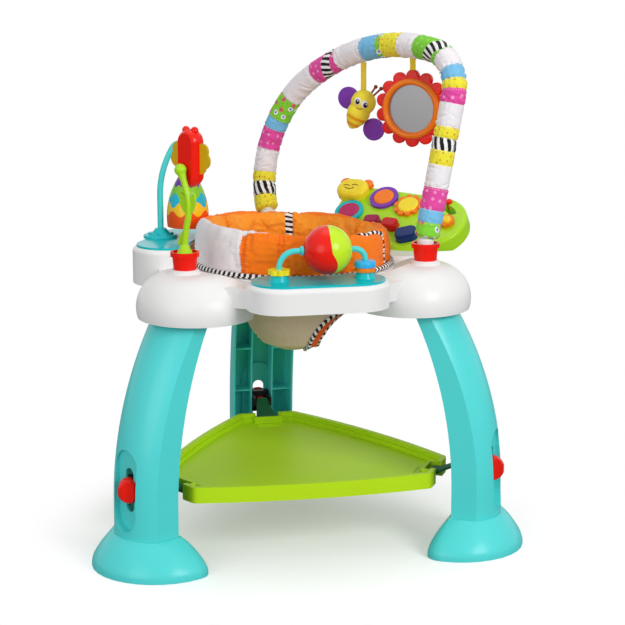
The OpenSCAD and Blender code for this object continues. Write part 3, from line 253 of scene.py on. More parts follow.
def spotted(base, dot, step, size, jitter=0.5):
    def build(net):
        mask, _ = spots(net, step, size, jitter)
        return net.mix(mask, lin(base), lin(dot))
    return build


def flowered(net):
    mask, hue = spots(net, 0.016, 0.0042, 0.7)
    ring, _ = spots(net, 0.016, 0.0018, 0.7)
    pick = net.split(hue)[0]
    petal = net.mix(net.less(pick, 0.5), lin("#F4F4FA"), lin("#F2784B"))
    petal = net.mix(ring, petal, lin("#4E6FC4"))
    return net.mix(mask, lin("#86DB3C"), petal)


def zebra_print(net):
    return net.mix(zebra(net, 0.0115, 0.54, 0.3), lin("#FAFAFA"), lin("#141416"))


def banded(base, dot):
    """A patch with a slanting zebra band over it."""
    def build(net):
        u, v = net.split(net.coords("UV"))[:2]
        mask, _ = spots(net, 0.012, 0.0022, 0.4)
        ground = net.mix(mask, lin(base), lin(dot))
        middle = net.new("ShaderNodeAttribute", attribute_name="mid").outputs["Fac"]
        off = net.math("SUBTRACT", u, middle)
        turn = net.math("SUBTRACT", v, 0.058)
        inside = net.less(net.math("ABSOLUTE", net.math("MULTIPLY_ADD", turn, 0.42, off)), 0.0095)
        bars = zebra(net, 0.0105, 0.52, -0.5)
        return net.mix(inside, ground, net.mix(bars, lin("#FAFAFA"), lin("#141416")))
    return build


# Mesh helpers

def bearing(degrees):
    """A level direction, by its angle from +X."""
    return np.array([math.cos(math.radians(degrees)), math.sin(math.radians(degrees)), 0.0])


def link(name, data):
    """An object for some data, put into the scene."""
    obj = bpy.data.objects.new(name, data)
    bpy.context.scene.collection.objects.link(obj)
    return obj


def add(name, verts, faces, mats, smooth=True, face_mats=None, uv=None):
    mesh = bpy.data.meshes.new(name)
    mesh.from_pydata([tuple(v) for v in np.asarray(verts, float)], [], [tuple(f) for f in faces])
    for m in mats if isinstance(mats, (list, tuple)) else [mats]:
        mesh.materials.append(m)
    if face_mats is not None:
        mesh.polygons.foreach_set("material_index", np.asarray(face_mats, np.int32))
    if uv is not None:
        layer = mesh.uv_layers.new(name="UVMap")
        loops = np.empty(len(mesh.loops), np.int32)
        mesh.loops.foreach_get("vertex_index", loops)
        layer.data.foreach_set("uv", np.asarray(uv, np.float32)[loops].ravel())
    mesh.polygons.foreach_set("use_smooth", [smooth] * len(mesh.polygons))
    mesh.update()
    return link(name, mesh)


def grid_faces(rows, cols, close_rows=False, close_cols=True, flip=False):
    """Quads of a grid of rows x cols vertices, turned over if flip is set."""
    faces = []
    for i in range(rows if close_rows else rows - 1):
        for j in range(cols if close_cols else cols - 1):
            a, b = i * cols + j, i * cols + (j + 1) % cols
            c, d = ((i + 1) % rows) * cols + j, ((i + 1) % rows) * cols + (j + 1) % cols
            faces.append((a, c, d, b) if flip else (a, b, d, c))
    return faces


def capped_faces(rows, sides):
    """Faces of an open tube of rows x sides vertices, with both ends closed."""
    ends = [tuple(range(sides - 1, -1, -1)), tuple((rows - 1) * sides + j for j in range(sides))]
    return grid_faces(rows, sides) + ends


def tube(name, path, radius, mat, sides=12, closed=False):
    """A round cord along a path of points; UV in metres, v along it."""
    path = np.asarray(path, float)
    n = len(path)
    ahead = np.roll(path, -1, 0) - np.roll(path, 1, 0) if closed else np.gradient(path, axis=0)
    ahead /= np.linalg.norm(ahead, axis=1)[:, None]
    up = np.array([0.0, 0.0, 1.0])
    side = np.cross(ahead, up)
    flat = np.linalg.norm(side, axis=1) < 0.2
    side[flat] = np.cross(ahead[flat], np.array([1.0, 0.3, 0.0]))
    side /= np.linalg.norm(side, axis=1)[:, None]
    top = np.cross(side, ahead)
    q = np.linspace(0, 2 * math.pi, sides, endpoint=False)
    round_side = np.cos(q)[None, :, None] * side[:, None]
    round_top = np.sin(q)[None, :, None] * top[:, None]
    verts = path[:, None] + radius * (round_side + round_top)
    steps = np.concatenate([[0], np.cumsum(np.linalg.norm(np.diff(path, axis=0), axis=1))])
    uv = np.stack([np.broadcast_to(q * radius, (n, sides)), np.broadcast_to(steps[:, None], (n, sides))], -1)
    faces = grid_faces(n, sides, close_rows=True) if closed else capped_faces(n, sides)
    return add(name, verts.reshape(-1, 3), faces, mat, uv=uv.reshape(-1, 2))


def turn_z(points, degrees):
    a = math.radians(degrees)
    p = np.asarray(points, float)
    return np.stack([p[..., 0] * math.cos(a) - p[..., 1] * math.sin(a),
                     p[..., 0] * math.sin(a) + p[..., 1] * math.cos(a), p[..., 2]], -1)


def place(obj, body, *nodes, slot=None):
    if nodes:
        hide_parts(*nodes)
    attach(obj, body)
    return obj


def puff(obj, held, pressure, cap, frames=20):
    """Blows a piece up between its held points by cloth simulation; returns its points, capped in travel."""
    start = np.array([v.co for v in obj.data.vertices])
    obj.vertex_groups.new(name="held").add([int(i) for i in np.flatnonzero(held)], 1.0, "REPLACE")
    cloth = obj.modifiers.new("cloth", "CLOTH")
    cloth.settings.vertex_group_mass = "held"
    cloth.settings.quality = 6
    cloth.settings.mass = 0.2
    cloth.settings.tension_stiffness = 12
    cloth.settings.compression_stiffness = 12
    cloth.settings.bending_stiffness = 0.3
    cloth.settings.shrink_min = -0.05
    cloth.settings.use_pressure = True
    cloth.settings.uniform_pressure_force = pressure
    cloth.settings.effector_weights.gravity = 0
    cloth.point_cache.frame_end = frames
    for f in range(1, frames + 1):
        bpy.context.scene.frame_set(f)
    shown = obj.evaluated_get(bpy.context.evaluated_depsgraph_get()).to_mesh()
    move = np.array([v.co for v in shown.vertices]) - start
    bpy.context.scene.frame_set(1)
    far = np.linalg.norm(move, axis=1)[:, None]
    return start + move * np.minimum(1, cap / np.maximum(far, 1e-9))


def finer(grid, rows, cols):
    """A grid of points that is closed both ways, drawn out smoothly to more rows and columns."""
    n, m = grid.shape[:2]
    waves = np.fft.fftshift(np.fft.fft2(grid, axes=(0, 1)), axes=(0, 1))
    wide = np.zeros((rows, cols, 3), complex)
    i, j = rows // 2 - n // 2, cols // 2 - m // 2
    wide[i:i + n, j:j + m] = waves
    return np.fft.ifft2(np.fft.ifftshift(wide, axes=(0, 1)), axes=(0, 1)).real * rows * cols / (n * m)


def stitch_nodes():
    """Geometry nodes that lay short threads along the edges of a mesh."""
    tree = bpy.data.node_groups.new("stitches", "GeometryNodeTree")
    tree.interface.new_socket("Lines", in_out="INPUT", socket_type="NodeSocketGeometry")
    for title, value in (("Pitch", 0.004), ("Thread Length", 0.0026), ("Thread Radius", 0.0004)):
        tree.interface.new_socket(title, in_out="INPUT", socket_type="NodeSocketFloat").default_value = value
    tree.interface.new_socket("Thread", in_out="INPUT", socket_type="NodeSocketMaterial")
    tree.interface.new_socket("Stitches", in_out="OUTPUT", socket_type="NodeSocketGeometry")
    net = Net(tree)
    given = net.new("NodeGroupInput").outputs
    curve = net.new("GeometryNodeMeshToCurve")
    net.put(curve.inputs["Mesh"], given["Lines"])
    spread = net.new("GeometryNodeResampleCurve", mode="LENGTH")
    net.put(spread.inputs["Curve"], curve.outputs["Curve"])
    net.put(spread.inputs["Length"], given["Pitch"])
    thread = net.new("GeometryNodeMeshUVSphere")
    thread.inputs["Segments"].default_value = 6
    thread.inputs["Rings"].default_value = 4
    shape = net.new("ShaderNodeCombineXYZ")
    net.put(shape.inputs["X"], given["Thread Radius"])
    net.put(shape.inputs["Y"], given["Thread Radius"])
    net.put(shape.inputs["Z"], net.math("MULTIPLY", given["Thread Length"], 0.5))
    sized = net.new("GeometryNodeTransform")
    net.put(sized.inputs["Geometry"], thread.outputs["Mesh"])
    net.put(sized.inputs["Scale"], shape.outputs[0])
    turn = net.new("FunctionNodeAlignRotationToVector", axis="Z")
    net.put(turn.inputs["Vector"], net.new("GeometryNodeInputTangent").outputs[0])
    laid = net.new("GeometryNodeInstanceOnPoints")
    net.put(laid.inputs["Points"], spread.outputs["Curve"])
    net.put(laid.inputs["Instance"], sized.outputs["Geometry"])
    net.put(laid.inputs["Rotation"], turn.outputs["Rotation"])
    real = net.new("GeometryNodeRealizeInstances")
    net.put(real.inputs["Geometry"], laid.outputs["Instances"])
    coat = net.new("GeometryNodeSetMaterial")
    net.put(coat.inputs["Geometry"], real.outputs["Geometry"])
    net.put(coat.inputs["Material"], given["Thread"])
    net.put(net.new("NodeGroupOutput").inputs[0], coat.outputs["Geometry"])
    return tree


STITCHES = stitch_nodes()


def stitch(name, lines, body, mat, pitch=0.004, length=0.0026):
    """Stitches along some lines of points in metres, as one piece."""
    verts, edges = [], []
    for line, closed in lines:
        first = len(verts)
        verts += [tuple(v) for v in line]
        edges += [(i, i + 1) for i in range(first, len(verts) - 1)]
        if closed:
            edges.append((len(verts) - 1, first))
    guide = bpy.data.meshes.new(name + "_lines")
    guide.from_pydata(verts, edges, [])
    lead = link(name + "_lines", guide)
    laid = lead.modifiers.new("stitches", "NODES")
    laid.node_group = STITCHES
    values = {"Pitch": pitch, "Thread Length": length, "Thread": mat}
    for item in STITCHES.interface.items_tree:
        if item.name in values:
            laid[item.identifier] = values[item.name]
    mesh = bpy.data.meshes.new_from_object(lead.evaluated_get(bpy.context.evaluated_depsgraph_get()))
    mesh.polygons.foreach_set("use_smooth", [True] * len(mesh.polygons))
    bpy.data.objects.remove(lead)
    return place(link(name, mesh), body)


def lump(name, parts, mats, body):
    """Round lumps as one piece; each part is a centre in mm, three half axes in mm and a material number."""
    sides, rings = 20, 12
    q = np.linspace(0, 2 * math.pi, sides, endpoint=False)
    t = np.linspace(0, math.pi, rings + 1)[1:-1]
    unit = np.stack([np.sin(t)[:, None] * np.cos(q), np.sin(t)[:, None] * np.sin(q),
                     np.broadcast_to(np.cos(t)[:, None], (rings - 1, sides))], -1).reshape(-1, 3)
    unit = np.concatenate([unit, [[0, 0, 1], [0, 0, -1]]])
    shell = grid_faces(rings - 1, sides, flip=True)
    top, low, last = len(unit) - 2, len(unit) - 1, (rings - 2) * sides
    shell += [(top, j, (j + 1) % sides) for j in range(sides)]
    shell += [(low, last + (j + 1) % sides, last + j) for j in range(sides)]
    verts, faces, kinds = [], [], []
    for centre, axes, kind in parts:
        base = len(verts) * len(unit)
        verts.append(np.asarray(centre) + unit @ np.asarray(axes))
        faces += [tuple(base + i for i in f) for f in shell]
        kinds += [kind] * len(shell)
    return place(add(name, np.concatenate(verts) * MM, faces, mats, face_mats=kinds), body)


# Finishes of the moulded pieces

def egg_colour(net):
    """Wavy bands round the egg, from purple at the top to orange."""
    low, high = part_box("egg_toy")
    cx, cy = (low[0] + high[0]) / 2, (low[1] + high[1]) / 2
    x, y, z = net.split(net.coords())[:3]
    angle = net.math("ARCTAN2", net.math("SUBTRACT", y, cy), net.math("SUBTRACT", x, cx))
    level = net.math("DIVIDE", net.math("SUBTRACT", z, low[2]), high[2] - low[2])
    wave = net.sine(angle, 7.0, 0.4)
    bump = net.math("ABSOLUTE", net.sine(angle, 5.0, 0.9))
    color = lin("#F25412")
    for base, swing, source, shade in ((0.27, 0.05, wave, "#F8C616"), (0.43, -0.055, wave, "#13B7D2"),
                                       (0.60, 0.045, wave, "#86C92A"), (0.735, 0.05, bump, "#6D2FA6")):
        edge = net.math("MULTIPLY_ADD", source, swing, base)
        color = net.mix(net.above(level, edge), color, lin(shade))
    return color


MIRROR = bpy.data.materials.new("mirror")
MIRROR.use_nodes = True
shader = MIRROR.node_tree.nodes["Principled BSDF"]
shader.inputs["Base Color"].default_value = lin("#8C8C8E")
shader.inputs["Metallic"].default_value = 0.85
shader.inputs["Roughness"].default_value = 0.3


# Places of the toys that carry a face or a second colour, in mm

FACE_X = bearing(-40)
FACE_OUT = np.array([-0.368689, -0.439386, 0.819152])
FACE_Y = np.cross(FACE_OUT, FACE_X)
FACE_AT = np.array([185.07, 106.85, 445.0])
DIAL_AT = (85, -1)
DIAL_MIDDLE = 0.0075
BEE_X = bearing(-35)
BEE_OUT = np.array([BEE_X[1], -BEE_X[0], 0.0])
BEE_AT = np.array([126.908, 91.753, 626.483])
BEE_HEAD = 19


def on_face(u, v, lift):
    """A point over the piano's sloping face."""
    return FACE_AT + u * FACE_X + v * FACE_Y + lift * FACE_OUT


def from_point(net, spot):
    node = net.new("ShaderNodeVectorMath", operation="SUBTRACT")
    net.put(node.inputs[0], net.coords())
    node.inputs[1].default_value = tuple(spot * MM)
    return node.outputs[0]


def bee_colour(net):
    """Yellow, with amber bands round the body and brown feelers over the head."""
    away = from_point(net, BEE_AT)
    high = net.above(net.split(net.coords())[2], (BEE_AT[2] + 4) * MM)
    tail = net.dot(away, -0.42 * BEE_X - np.array([0, 0, 0.9]))
    body = net.above(tail, (BEE_HEAD - 1) * MM)
    bands = net.above(net.sine(tail, 560.0, 0.6), 0.1)
    ground = net.mix(net.math("MULTIPLY", body, bands), lin("#FFEC42"), lin("#F8AE1C"))
    out = net.above(net.length(away), (BEE_HEAD + 0.6) * MM)
    return net.mix(net.math("MULTIPLY", high, out), ground, lin("#8A3518"))


def dial_colour(net):
    """Orange, with a yellow middle."""
    off = from_point(net, on_face(*DIAL_AT, 0))
    square = net.math("SUBTRACT", net.math("POWER", net.length(off), 2.0),
                      net.math("POWER", net.math("ABSOLUTE", net.dot(off, FACE_OUT)), 2.0))
    return net.mix(net.less(square, DIAL_MIDDLE ** 2), lin("#F0860F"), lin("#F6D522"))


INK = plastic("ink", "#16120F", 0.25)
BROWN = plastic("brown_plastic", "#6B2A12", 0.4)
# White of the bee's eyes, also used for the small painted highlight (glint) on each eye
EYE_WHITE_AND_GLINT = plastic("eye_white_and_glint", "#F6F6F4", 0.2)
# Colour, roughness, mottling, skin and coat of each plastic
PLASTICS = {
    "white": ("#F1F1F0", 0.36, 0.02), "turquoise": ("#4CD9D8", 0.3, 0.04), "leg": ("#56E0DF", 0.32, 0.04),
    "red": ("#F31804", 0.24), "deep_red": ("#EC1604", 0.26), "key_red": ("#C81420", 0.14),
    "lime": ("#AEE41E", 0.3), "ball_lime": ("#C8F026", 0.2), "deck": ("#C0EA16", 0.5, 0.05, 0.15, 0.0),
    "teal": ("#0CC0C8", 0.22), "orange": ("#FB8010", 0.26), "yellow": ("#FBE42A", 0.26),
    "purple": ("#7E35B8", 0.28), "amber": ("#D8B20C", 0.3), "blue": ("#34B2EE", 0.26),
    "navy": ("#12306E", 0.14), "pink": ("#C0165F", 0.2), "magenta": ("#A3124F", 0.14),
    "black": ("#1B1D1F", 0.5, 0.05, 0.3, 0.0), "egg": (egg_colour, 0.25),
    "bee": (bee_colour, 0.42, 0.06, 0.1, 0.0), "dial": (dial_colour, 0.26)}
PAINT = {name: plastic(f"{name}_plastic", *finish) for name, finish in PLASTICS.items()}
PAINT["mirror"] = MIRROR
COATS = {
    "white": "tray bar_core seat_ring", "deck": "platform", "ball_lime": "ball_lime",
    "lime": "bird_stem piano_base", "turquoise": "ball_rod egg_hook",
    "leg": "leg_left leg_right leg_back foot_left foot_right foot_back",
    "red": "knob_left knob_right knob_back cup_left cup_right cup_back ball_red bird_body piano_button",
    "deep_red": "mirror_frame", "key_red": "key_red", "magenta": "key_pink", "bee": "bee_body",
    "dial": "piano_knob", "teal": "ball_plate egg_base pad_rim_teal",
    "orange": "bead_orange piano_ears pad_rim_orange pad_orange mirror_ring",
    "yellow": "bead_yellow piano_head pad_yellow", "purple": "pad_rim_purple bee_wings",
    "amber": "bird_wings", "blue": "bead_blue", "navy": "key_blue", "pink": "pad_pink",
    "black": "slider_left slider_right slider_back", "egg": "egg_toy", "mirror": "mirror_glass"}
for coat, names in COATS.items():
    for name in names.split():
        mesh = NODES[name].data
        mesh.materials.clear()
        mesh.materials.append(PAINT[coat])


def soft_shade_nodes():
    """Geometry nodes that join a moulding's facets and shade them smooth up to an angle."""
    tree = bpy.data.node_groups.new("soft_shade", "GeometryNodeTree")
    tree.interface.new_socket("Moulding", in_out="INPUT", socket_type="NodeSocketGeometry")
    tree.interface.new_socket("Angle", in_out="INPUT", socket_type="NodeSocketFloat").default_value = 0.5
    tree.interface.new_socket("Moulding", in_out="OUTPUT", socket_type="NodeSocketGeometry")
    net = Net(tree)
    given = net.new("NodeGroupInput").outputs
    joined = net.new("GeometryNodeMergeByDistance")
    net.put(joined.inputs["Geometry"], given["Moulding"])
    joined.inputs["Distance"].default_value = 0.00001
    sharp = net.new("FunctionNodeCompare", data_type="FLOAT", operation="GREATER_THAN")
    net.put(sharp.inputs["A"], net.new("GeometryNodeInputMeshEdgeAngle").outputs["Unsigned Angle"])
    net.put(sharp.inputs["B"], given["Angle"])
    shaded = net.new("GeometryNodeSetMeshNormal", mode="SHARPNESS")
    net.put(shaded.inputs["Mesh"], joined.outputs["Geometry"])
    net.put(shaded.inputs["Edge Sharpness"], sharp.outputs["Result"])
    shaded.inputs["Remove Custom"].default_value = True
    net.put(net.new("NodeGroupOutput").inputs[0], shaded.outputs[0])
    return tree


SOFT_SHADE = soft_shade_nodes()
SMOOTHED = ("foot_left foot_right foot_back egg_hook bird_stem platform piano_base bar_core "
            "key_pink key_red key_blue")
for name in SMOOTHED.split():
    NODES[name].modifiers.new("soft_shade", "NODES").node_group = SOFT_SHADE


# Toy bar: the sleeve of sewn patches

CUP_R = 201.0
CHORD = 2 * CUP_R * math.sin(math.radians(60))
BAR_K = CHORD / 348
BAR_LEAN = math.radians(12)
BENDS = [(133 * BAR_K, 21.5), (163 * BAR_K, 64), (348 * BAR_K, 45), (63 * BAR_K, 83)]
RISE = 121.0
BAR_Z = 445.0


def bar_path(step=1.0):
    """Centre line of the bar in its own plane: points, headings and distances, in mm."""
    def bent(h):
        x = y = 0.0
        for r, t in BENDS:
            x += r * (math.sin(math.radians(h)) - math.sin(math.radians(h - t)))
            y += r * (math.cos(math.radians(h - t)) - math.cos(math.radians(h)))
            h -= t
        return x, y, h
    x, y, drop = bent(RISE)
    m = np.array([[math.cos(math.radians(RISE)), math.cos(math.radians(drop))],
                  [math.sin(math.radians(RISE)), math.sin(math.radians(drop))]])
    first, last = np.linalg.solve(m, [CHORD - x, -y])
    runs = [(first, 0)] + [(r * math.radians(t), t) for r, t in BENDS] + [(last, 0)]
    total = sum(r[0] for r in runs)
    count = int(total / step)
    p, out = np.array([-CHORD / 2, 0.0]), []
    ds = total / count
    edges = np.cumsum([0] + [r[0] for r in runs])
    h = RISE
    for i in range(count + 1):
        out.append((p[0], p[1], h, i * ds))
        k = min(int(np.searchsorted(edges, i * ds + ds / 2, "right")) - 1, len(runs) - 1)
        turn = runs[k][1] / runs[k][0] * ds
        mid = math.radians(h - turn / 2)
        p = p + ds * np.array([math.cos(mid), math.sin(mid)])
        h -= turn
    return np.array(out)


def bar_frame():
    """Middle of the bar's feet, and its directions along, up and sideways."""
    along, out = bearing(-60), bearing(30)
    up = out * math.sin(BAR_LEAN) + np.array([0, 0, math.cos(BAR_LEAN)])
    origin = CUP_R / 2 * out + np.array([0, 0, BAR_Z])
    return origin, along, up, np.cross(along, up)


PATCHES = [
    (5.5, "yellow"), (27.6, "zebra"), (50.7, "yellow"), (66.7, "white"), (103.1, "pink"), (137.3, "sky"),
    (155.5, "green"), (196.5, "white"), (260.2, "pinkband"), (314.9, "white"), (369.6, "sky"),
    (403.8, "green"), (414, "yellow"), (448.2, "white"), (482.4, "greenband"), (536, "white"),
    (562.2, "sky"), (579.3, "yellow"), (591.9, "pink"), (612.2, "white"), (646, "yellow"),
    (661.6, "zebra"), (679.8, "yellow"), (700.6, "white"), (734.4, "pink"), (765.6, "sky"),
    (783.8, "green"), (806.9, "")]
SLEEVE_R, CREASES = 17.8, 190
SLEEVE_CLOTH = {
    "white": fabric("sleeve_white", "#F4F0F4", 0.06, 0.3),
    "yellow": fabric("sleeve_yellow", spotted("#F6EA3C", "#E0A81E", 0.0105, 0.0016, 0.6), 0.08),
    "pink": fabric("sleeve_pink", spotted("#EC4FA8", "#F79FCE", 0.0125, 0.0024, 0.5), 0.1),
    "sky": fabric("sleeve_sky", "#7CC4EE", 0.12),
    "green": fabric("sleeve_green", flowered, 0.08),
    "zebra": fabric("sleeve_zebra", zebra_print, 0.04),
    "pinkband": fabric("sleeve_pinkband", banded("#EC4FA8", "#F79FCE"), 0.08),
    "greenband": fabric("sleeve_greenband", banded("#7FD43A", "#9FE062"), 0.08)}


def make_sleeve():
    """The sleeve: patches pulled in at their sewn edges, with puckers, random creases and a crumple."""
    path = bar_path()
    origin, along, up, side = bar_frame()
    edges = np.array([p[0] for p in PATCHES])
    inside = (path[:, 3] >= edges[0]) & (path[:, 3] <= edges[-1])
    path = path[inside]
    sides = 72
    q = np.linspace(0, 2 * math.pi, sides, endpoint=False)
    s = path[:, 3]
    gap_to = np.abs(s[:, None] - edges[None, :]).min(1)
    h = np.radians(path[:, 2])
    out2 = np.stack([-np.sin(h), np.cos(h)], 1)
    bend = np.gradient(path[:, 2], s)
    patch = np.searchsorted(edges, s, "right") - 1
    phase = rng.uniform(0, 6.28, (len(edges) + 1, 4))
    fold = phase[np.clip(patch, 0, len(edges) - 1)]
    near = np.exp(-gap_to / 5.0)[:, None]
    radius = SLEEVE_R - 1.2 * np.exp(-(gap_to / 2.2) ** 2)[:, None]
    pucker = 0.8 * near * (np.sin(13 * q[None] + fold[:, :1]) + 0.6 * np.sin(23 * q[None] + fold[:, 1:2]))
    spans = ((edges[0], edges[-1]), (0, 2 * math.pi), (-0.6, 0.6), (5, 12))
    for s0, q0, turn, reach in zip(*[rng.uniform(low, high, CREASES) for low, high in spans]):
        ds, dq = s[:, None] - s0, ((q[None] - q0 + math.pi) % (2 * math.pi) - math.pi) * 18
        across, length = ds * math.cos(turn) + dq * math.sin(turn), dq * math.cos(turn) - ds * math.sin(turn)
        fade = np.exp(-(length / reach) ** 2)
        pucker += fade * (0.7 * np.exp(-((across - 3) / 2.2) ** 2) - 1.5 * np.exp(-(across / 1.7) ** 2))
    inner = np.clip(-np.cos(q), 0, 1)[None] ** 1.5
    crumple = inner * np.clip(np.abs(bend) * 1.6, 0, 0.75)[:, None] * (
        np.sin(s[:, None] / 3.1 + 1.4 * np.sin(2 * q[None] + fold[:, 2:3])) - 0.4)
    slack = 0.3 * np.sin(2 * q[None] + s[:, None] / 21 + fold[:, 3:4]) * (1 - near)
    radius = radius + pucker + crumple + slack
    ends = np.minimum(s - edges[0], edges[-1] - s)
    radius = np.where(ends[:, None] < 6, radius - 3.2 * (1 - ends[:, None] / 6) ** 2, radius)
    x = path[:, :1] + radius * np.cos(q)[None] * out2[:, :1]
    y = path[:, 1:2] + radius * np.cos(q)[None] * out2[:, 1:]
    z = radius * np.sin(q)[None]
    verts = origin + x[..., None] * along + y[..., None] * up + z[..., None] * side
    n = len(path)
    caps = [origin + path[i, 0] * along + path[i, 1] * up for i in (0, n - 1)]
    rows = np.concatenate([verts.reshape(-1, 3), np.array(caps)]) * MM
    uv = np.stack(np.broadcast_arrays(s[:, None] * MM, q[None] * 18.5 * MM), -1)
    uv = np.concatenate([uv.reshape(-1, 2), [[s[0] * MM, 0], [s[-1] * MM, 0]]])
    names = list(SLEEVE_CLOTH)
    faces = grid_faces(n, sides, flip=True)
    kinds = [names.index(PATCHES[min(max(int(patch[f[0] // sides]), 0), len(PATCHES) - 2)][1]) for f in faces]
    for j in range(sides):
        k = (j + 1) % sides
        faces += [(n * sides, j, k), (n * sides + 1, (n - 1) * sides + k, (n - 1) * sides + j)]
        kinds += [names.index("yellow"), names.index("green")]
    obj = add("sleeve_cloth", rows, faces, list(SLEEVE_CLOTH.values()), face_mats=kinds, uv=uv)
    middles = (edges[:-1] + edges[1:]) / 2 * MM
    mid = middles[np.clip(patch, 0, len(middles) - 1)]
    values = np.concatenate([np.repeat(mid, sides), [mid[0], mid[-1]]]).astype(np.float32)
    obj.data.attributes.new("mid", "FLOAT", "POINT").data.foreach_set("value", values)
    place(obj, "frame", "bar_sleeve", slot="sleeve_fabric")
    rows = verts * MM
    middle = rows.mean(1, keepdims=True)
    rows = rows + (rows - middle) * 0.008
    seams = [(rows[int(np.argmin(np.abs(s - e - 2.2)))], True) for e in edges[1:-1]]
    stitch("sleeve_stitches", seams, "frame", THREAD, 0.0042, 0.0027)


THREAD = fabric("pale_thread", "#F1EDE2", 0.05, 0.1)
make_sleeve()


# Seat: padded wall, piping, panel and sling

WALL_R, WALL_PAD, WALL_Z, WALL_H = 141.0, 32.0, 403.6, 60.0
SECTION = np.array([[0.03, 0.0], [0.0, 0.25], [0.0, 0.53], [0.1, 0.82], [0.37, 0.99], [0.68, 0.99],
                    [0.93, 0.82], [1.0, 0.5], [0.95, 0.22], [0.88, 0.0], [0.45, 0.0]])


def closed_curve(points, count):
    """Smooth closed curve through points, evenly spaced by length; returns points and fractions."""
    n = len(points)
    fine = []
    for i in range(n):
        p0, p1, p2, p3 = (points[(i + k - 1) % n] for k in range(4))
        for t in np.linspace(0, 1, 24, endpoint=False):
            fine.append(0.5 * (2 * p1 + (p2 - p0) * t + (2 * p0 - 5 * p1 + 4 * p2 - p3) * t * t
                               + (3 * p1 - p0 - 3 * p2 + p3) * t ** 3))
    loop = np.vstack([fine, fine[:1]])
    steps = np.diff(loop, axis=0) * np.array([WALL_PAD, WALL_H])
    length = np.concatenate([[0], np.cumsum(np.linalg.norm(steps, axis=1))])
    at = np.linspace(0, length[-1], count, endpoint=False)
    return np.stack([np.interp(at, length, loop[:, k]) for k in (0, 1)], 1), at


WALL_ROWS, WALL_COLS = 181, 41
SECTION_FINE, SECTION_AT = closed_curve(SECTION, WALL_COLS)
GIRTH = float(SECTION_AT[-1] + SECTION_AT[1])
RIM_AT = float(SECTION_AT[np.argmax(SECTION_FINE[:, 1])])


def wall_point(angle, arc):
    """A point of the padded wall's smooth form; arc in mm round the section from its outer lower edge."""
    loop = np.vstack([SECTION_FINE, SECTION_FINE[:1]])
    at = np.append(SECTION_AT, SECTION_AT[-1] + SECTION_AT[1])
    arc = np.mod(arc, at[-1])
    depth = np.interp(arc, at, loop[:, 0])
    high = np.interp(arc, at, loop[:, 1])
    a = np.radians(angle)
    h = WALL_H * (1 + 0.12 * np.cos(a - math.radians(200)))
    r = WALL_R - depth * WALL_PAD
    return np.stack([r * np.cos(a), r * np.sin(a), WALL_Z + high * h], -1)


SEAMS = [80.0, 140.0, 228.0, 252.0, 290.0, 330.0, 20.0]
FOOT_TUCK = 26.0


def wall_grid(rows, cols):
    return np.meshgrid(np.arange(rows) * 360 / rows, np.arange(cols) * GIRTH / cols, indexing="ij")


def outward(grid):
    """Outward normals of a grid that is closed both ways."""
    n = np.cross(np.roll(grid, -1, 0) - np.roll(grid, 1, 0), np.roll(grid, -1, 1) - np.roll(grid, 1, 1))
    return n / np.linalg.norm(n, axis=-1)[..., None]


def seam_near(angle, reach):
    """1 on a sewn seam of the wall, falling off over reach degrees."""
    near = np.zeros_like(angle)
    for s in SEAMS:
        off = (angle - s + 180) % 360 - 180
        near = np.maximum(near, np.exp(-(off / reach) ** 2))
    return near


def make_wall():
    """The padded wall: a slack form held at its seams and foot, blown up, then puckered."""
    angle, arc = wall_grid(WALL_ROWS, WALL_COLS)
    form = wall_point(angle, arc)
    foot = (arc > GIRTH - FOOT_TUCK) | (arc < 3)
    slack = np.where(foot, -0.3, -2.6 - 1.6 * seam_near(angle, 1.6))
    form = form + outward(form) * slack[..., None]
    held = foot | (seam_near(angle, 1.2) > 0.6)
    skin = grid_faces(WALL_ROWS, WALL_COLS, close_rows=True, flip=True)
    trial = add("slack_wall", form.reshape(-1, 3) * MM, skin, SEAT_CLOTH)
    form = puff(trial, held.ravel(), 4.0, 0.0045).reshape(form.shape) / MM
    bpy.data.objects.remove(trial)
    rows, cols = 3 * WALL_ROWS, 3 * WALL_COLS
    form = finer(form, rows, cols)
    angle, arc = wall_grid(rows, cols)
    a = np.radians(angle)
    near = seam_near(angle, 5.0)
    pucker = 0.45 * near * np.sin(0.9 * arc + 2 * np.sin(9 * a)) + 0.4 * np.sin(70 * a) * np.exp(-arc / 8.0)
    folds = 0.35 * np.sin(19 * a - 0.09 * arc + 2 * np.sin(5 * a)) + 0.3 * np.sin(31 * a + 0.12 * arc)
    foot = arc > GIRTH - FOOT_TUCK
    push = np.where(foot, 0, pucker + folds - 0.7 * seam_near(angle, 0.9))
    return form + outward(form) * push[..., None]


def wall_print(net):
    """Orange cloth, with a faint scribbled print on the inner wall."""
    x, y = net.split(net.coords())[:2]
    radius = net.math("SQRT", net.math("ADD", net.math("MULTIPLY", x, x), net.math("MULTIPLY", y, y)))
    mask, _ = spots(net, 0.042, 0.0135, 0.5)
    core, _ = spots(net, 0.042, 0.0045, 0.5)
    rays = net.above(net.sine(net.noise(net.coords("UV"), 130.0, 1.0), 46.0), 0.55)
    star = net.math("MULTIPLY", net.math("SUBTRACT", mask, core), rays)
    inner = net.less(radius, 0.124)
    ground = net.mix(inner, lin("#FF7F10"), lin("#FF9A26"))
    return net.mix(net.math("MULTIPLY", net.math("MULTIPLY", star, inner), 0.5), ground, lin("#FBC04A"))


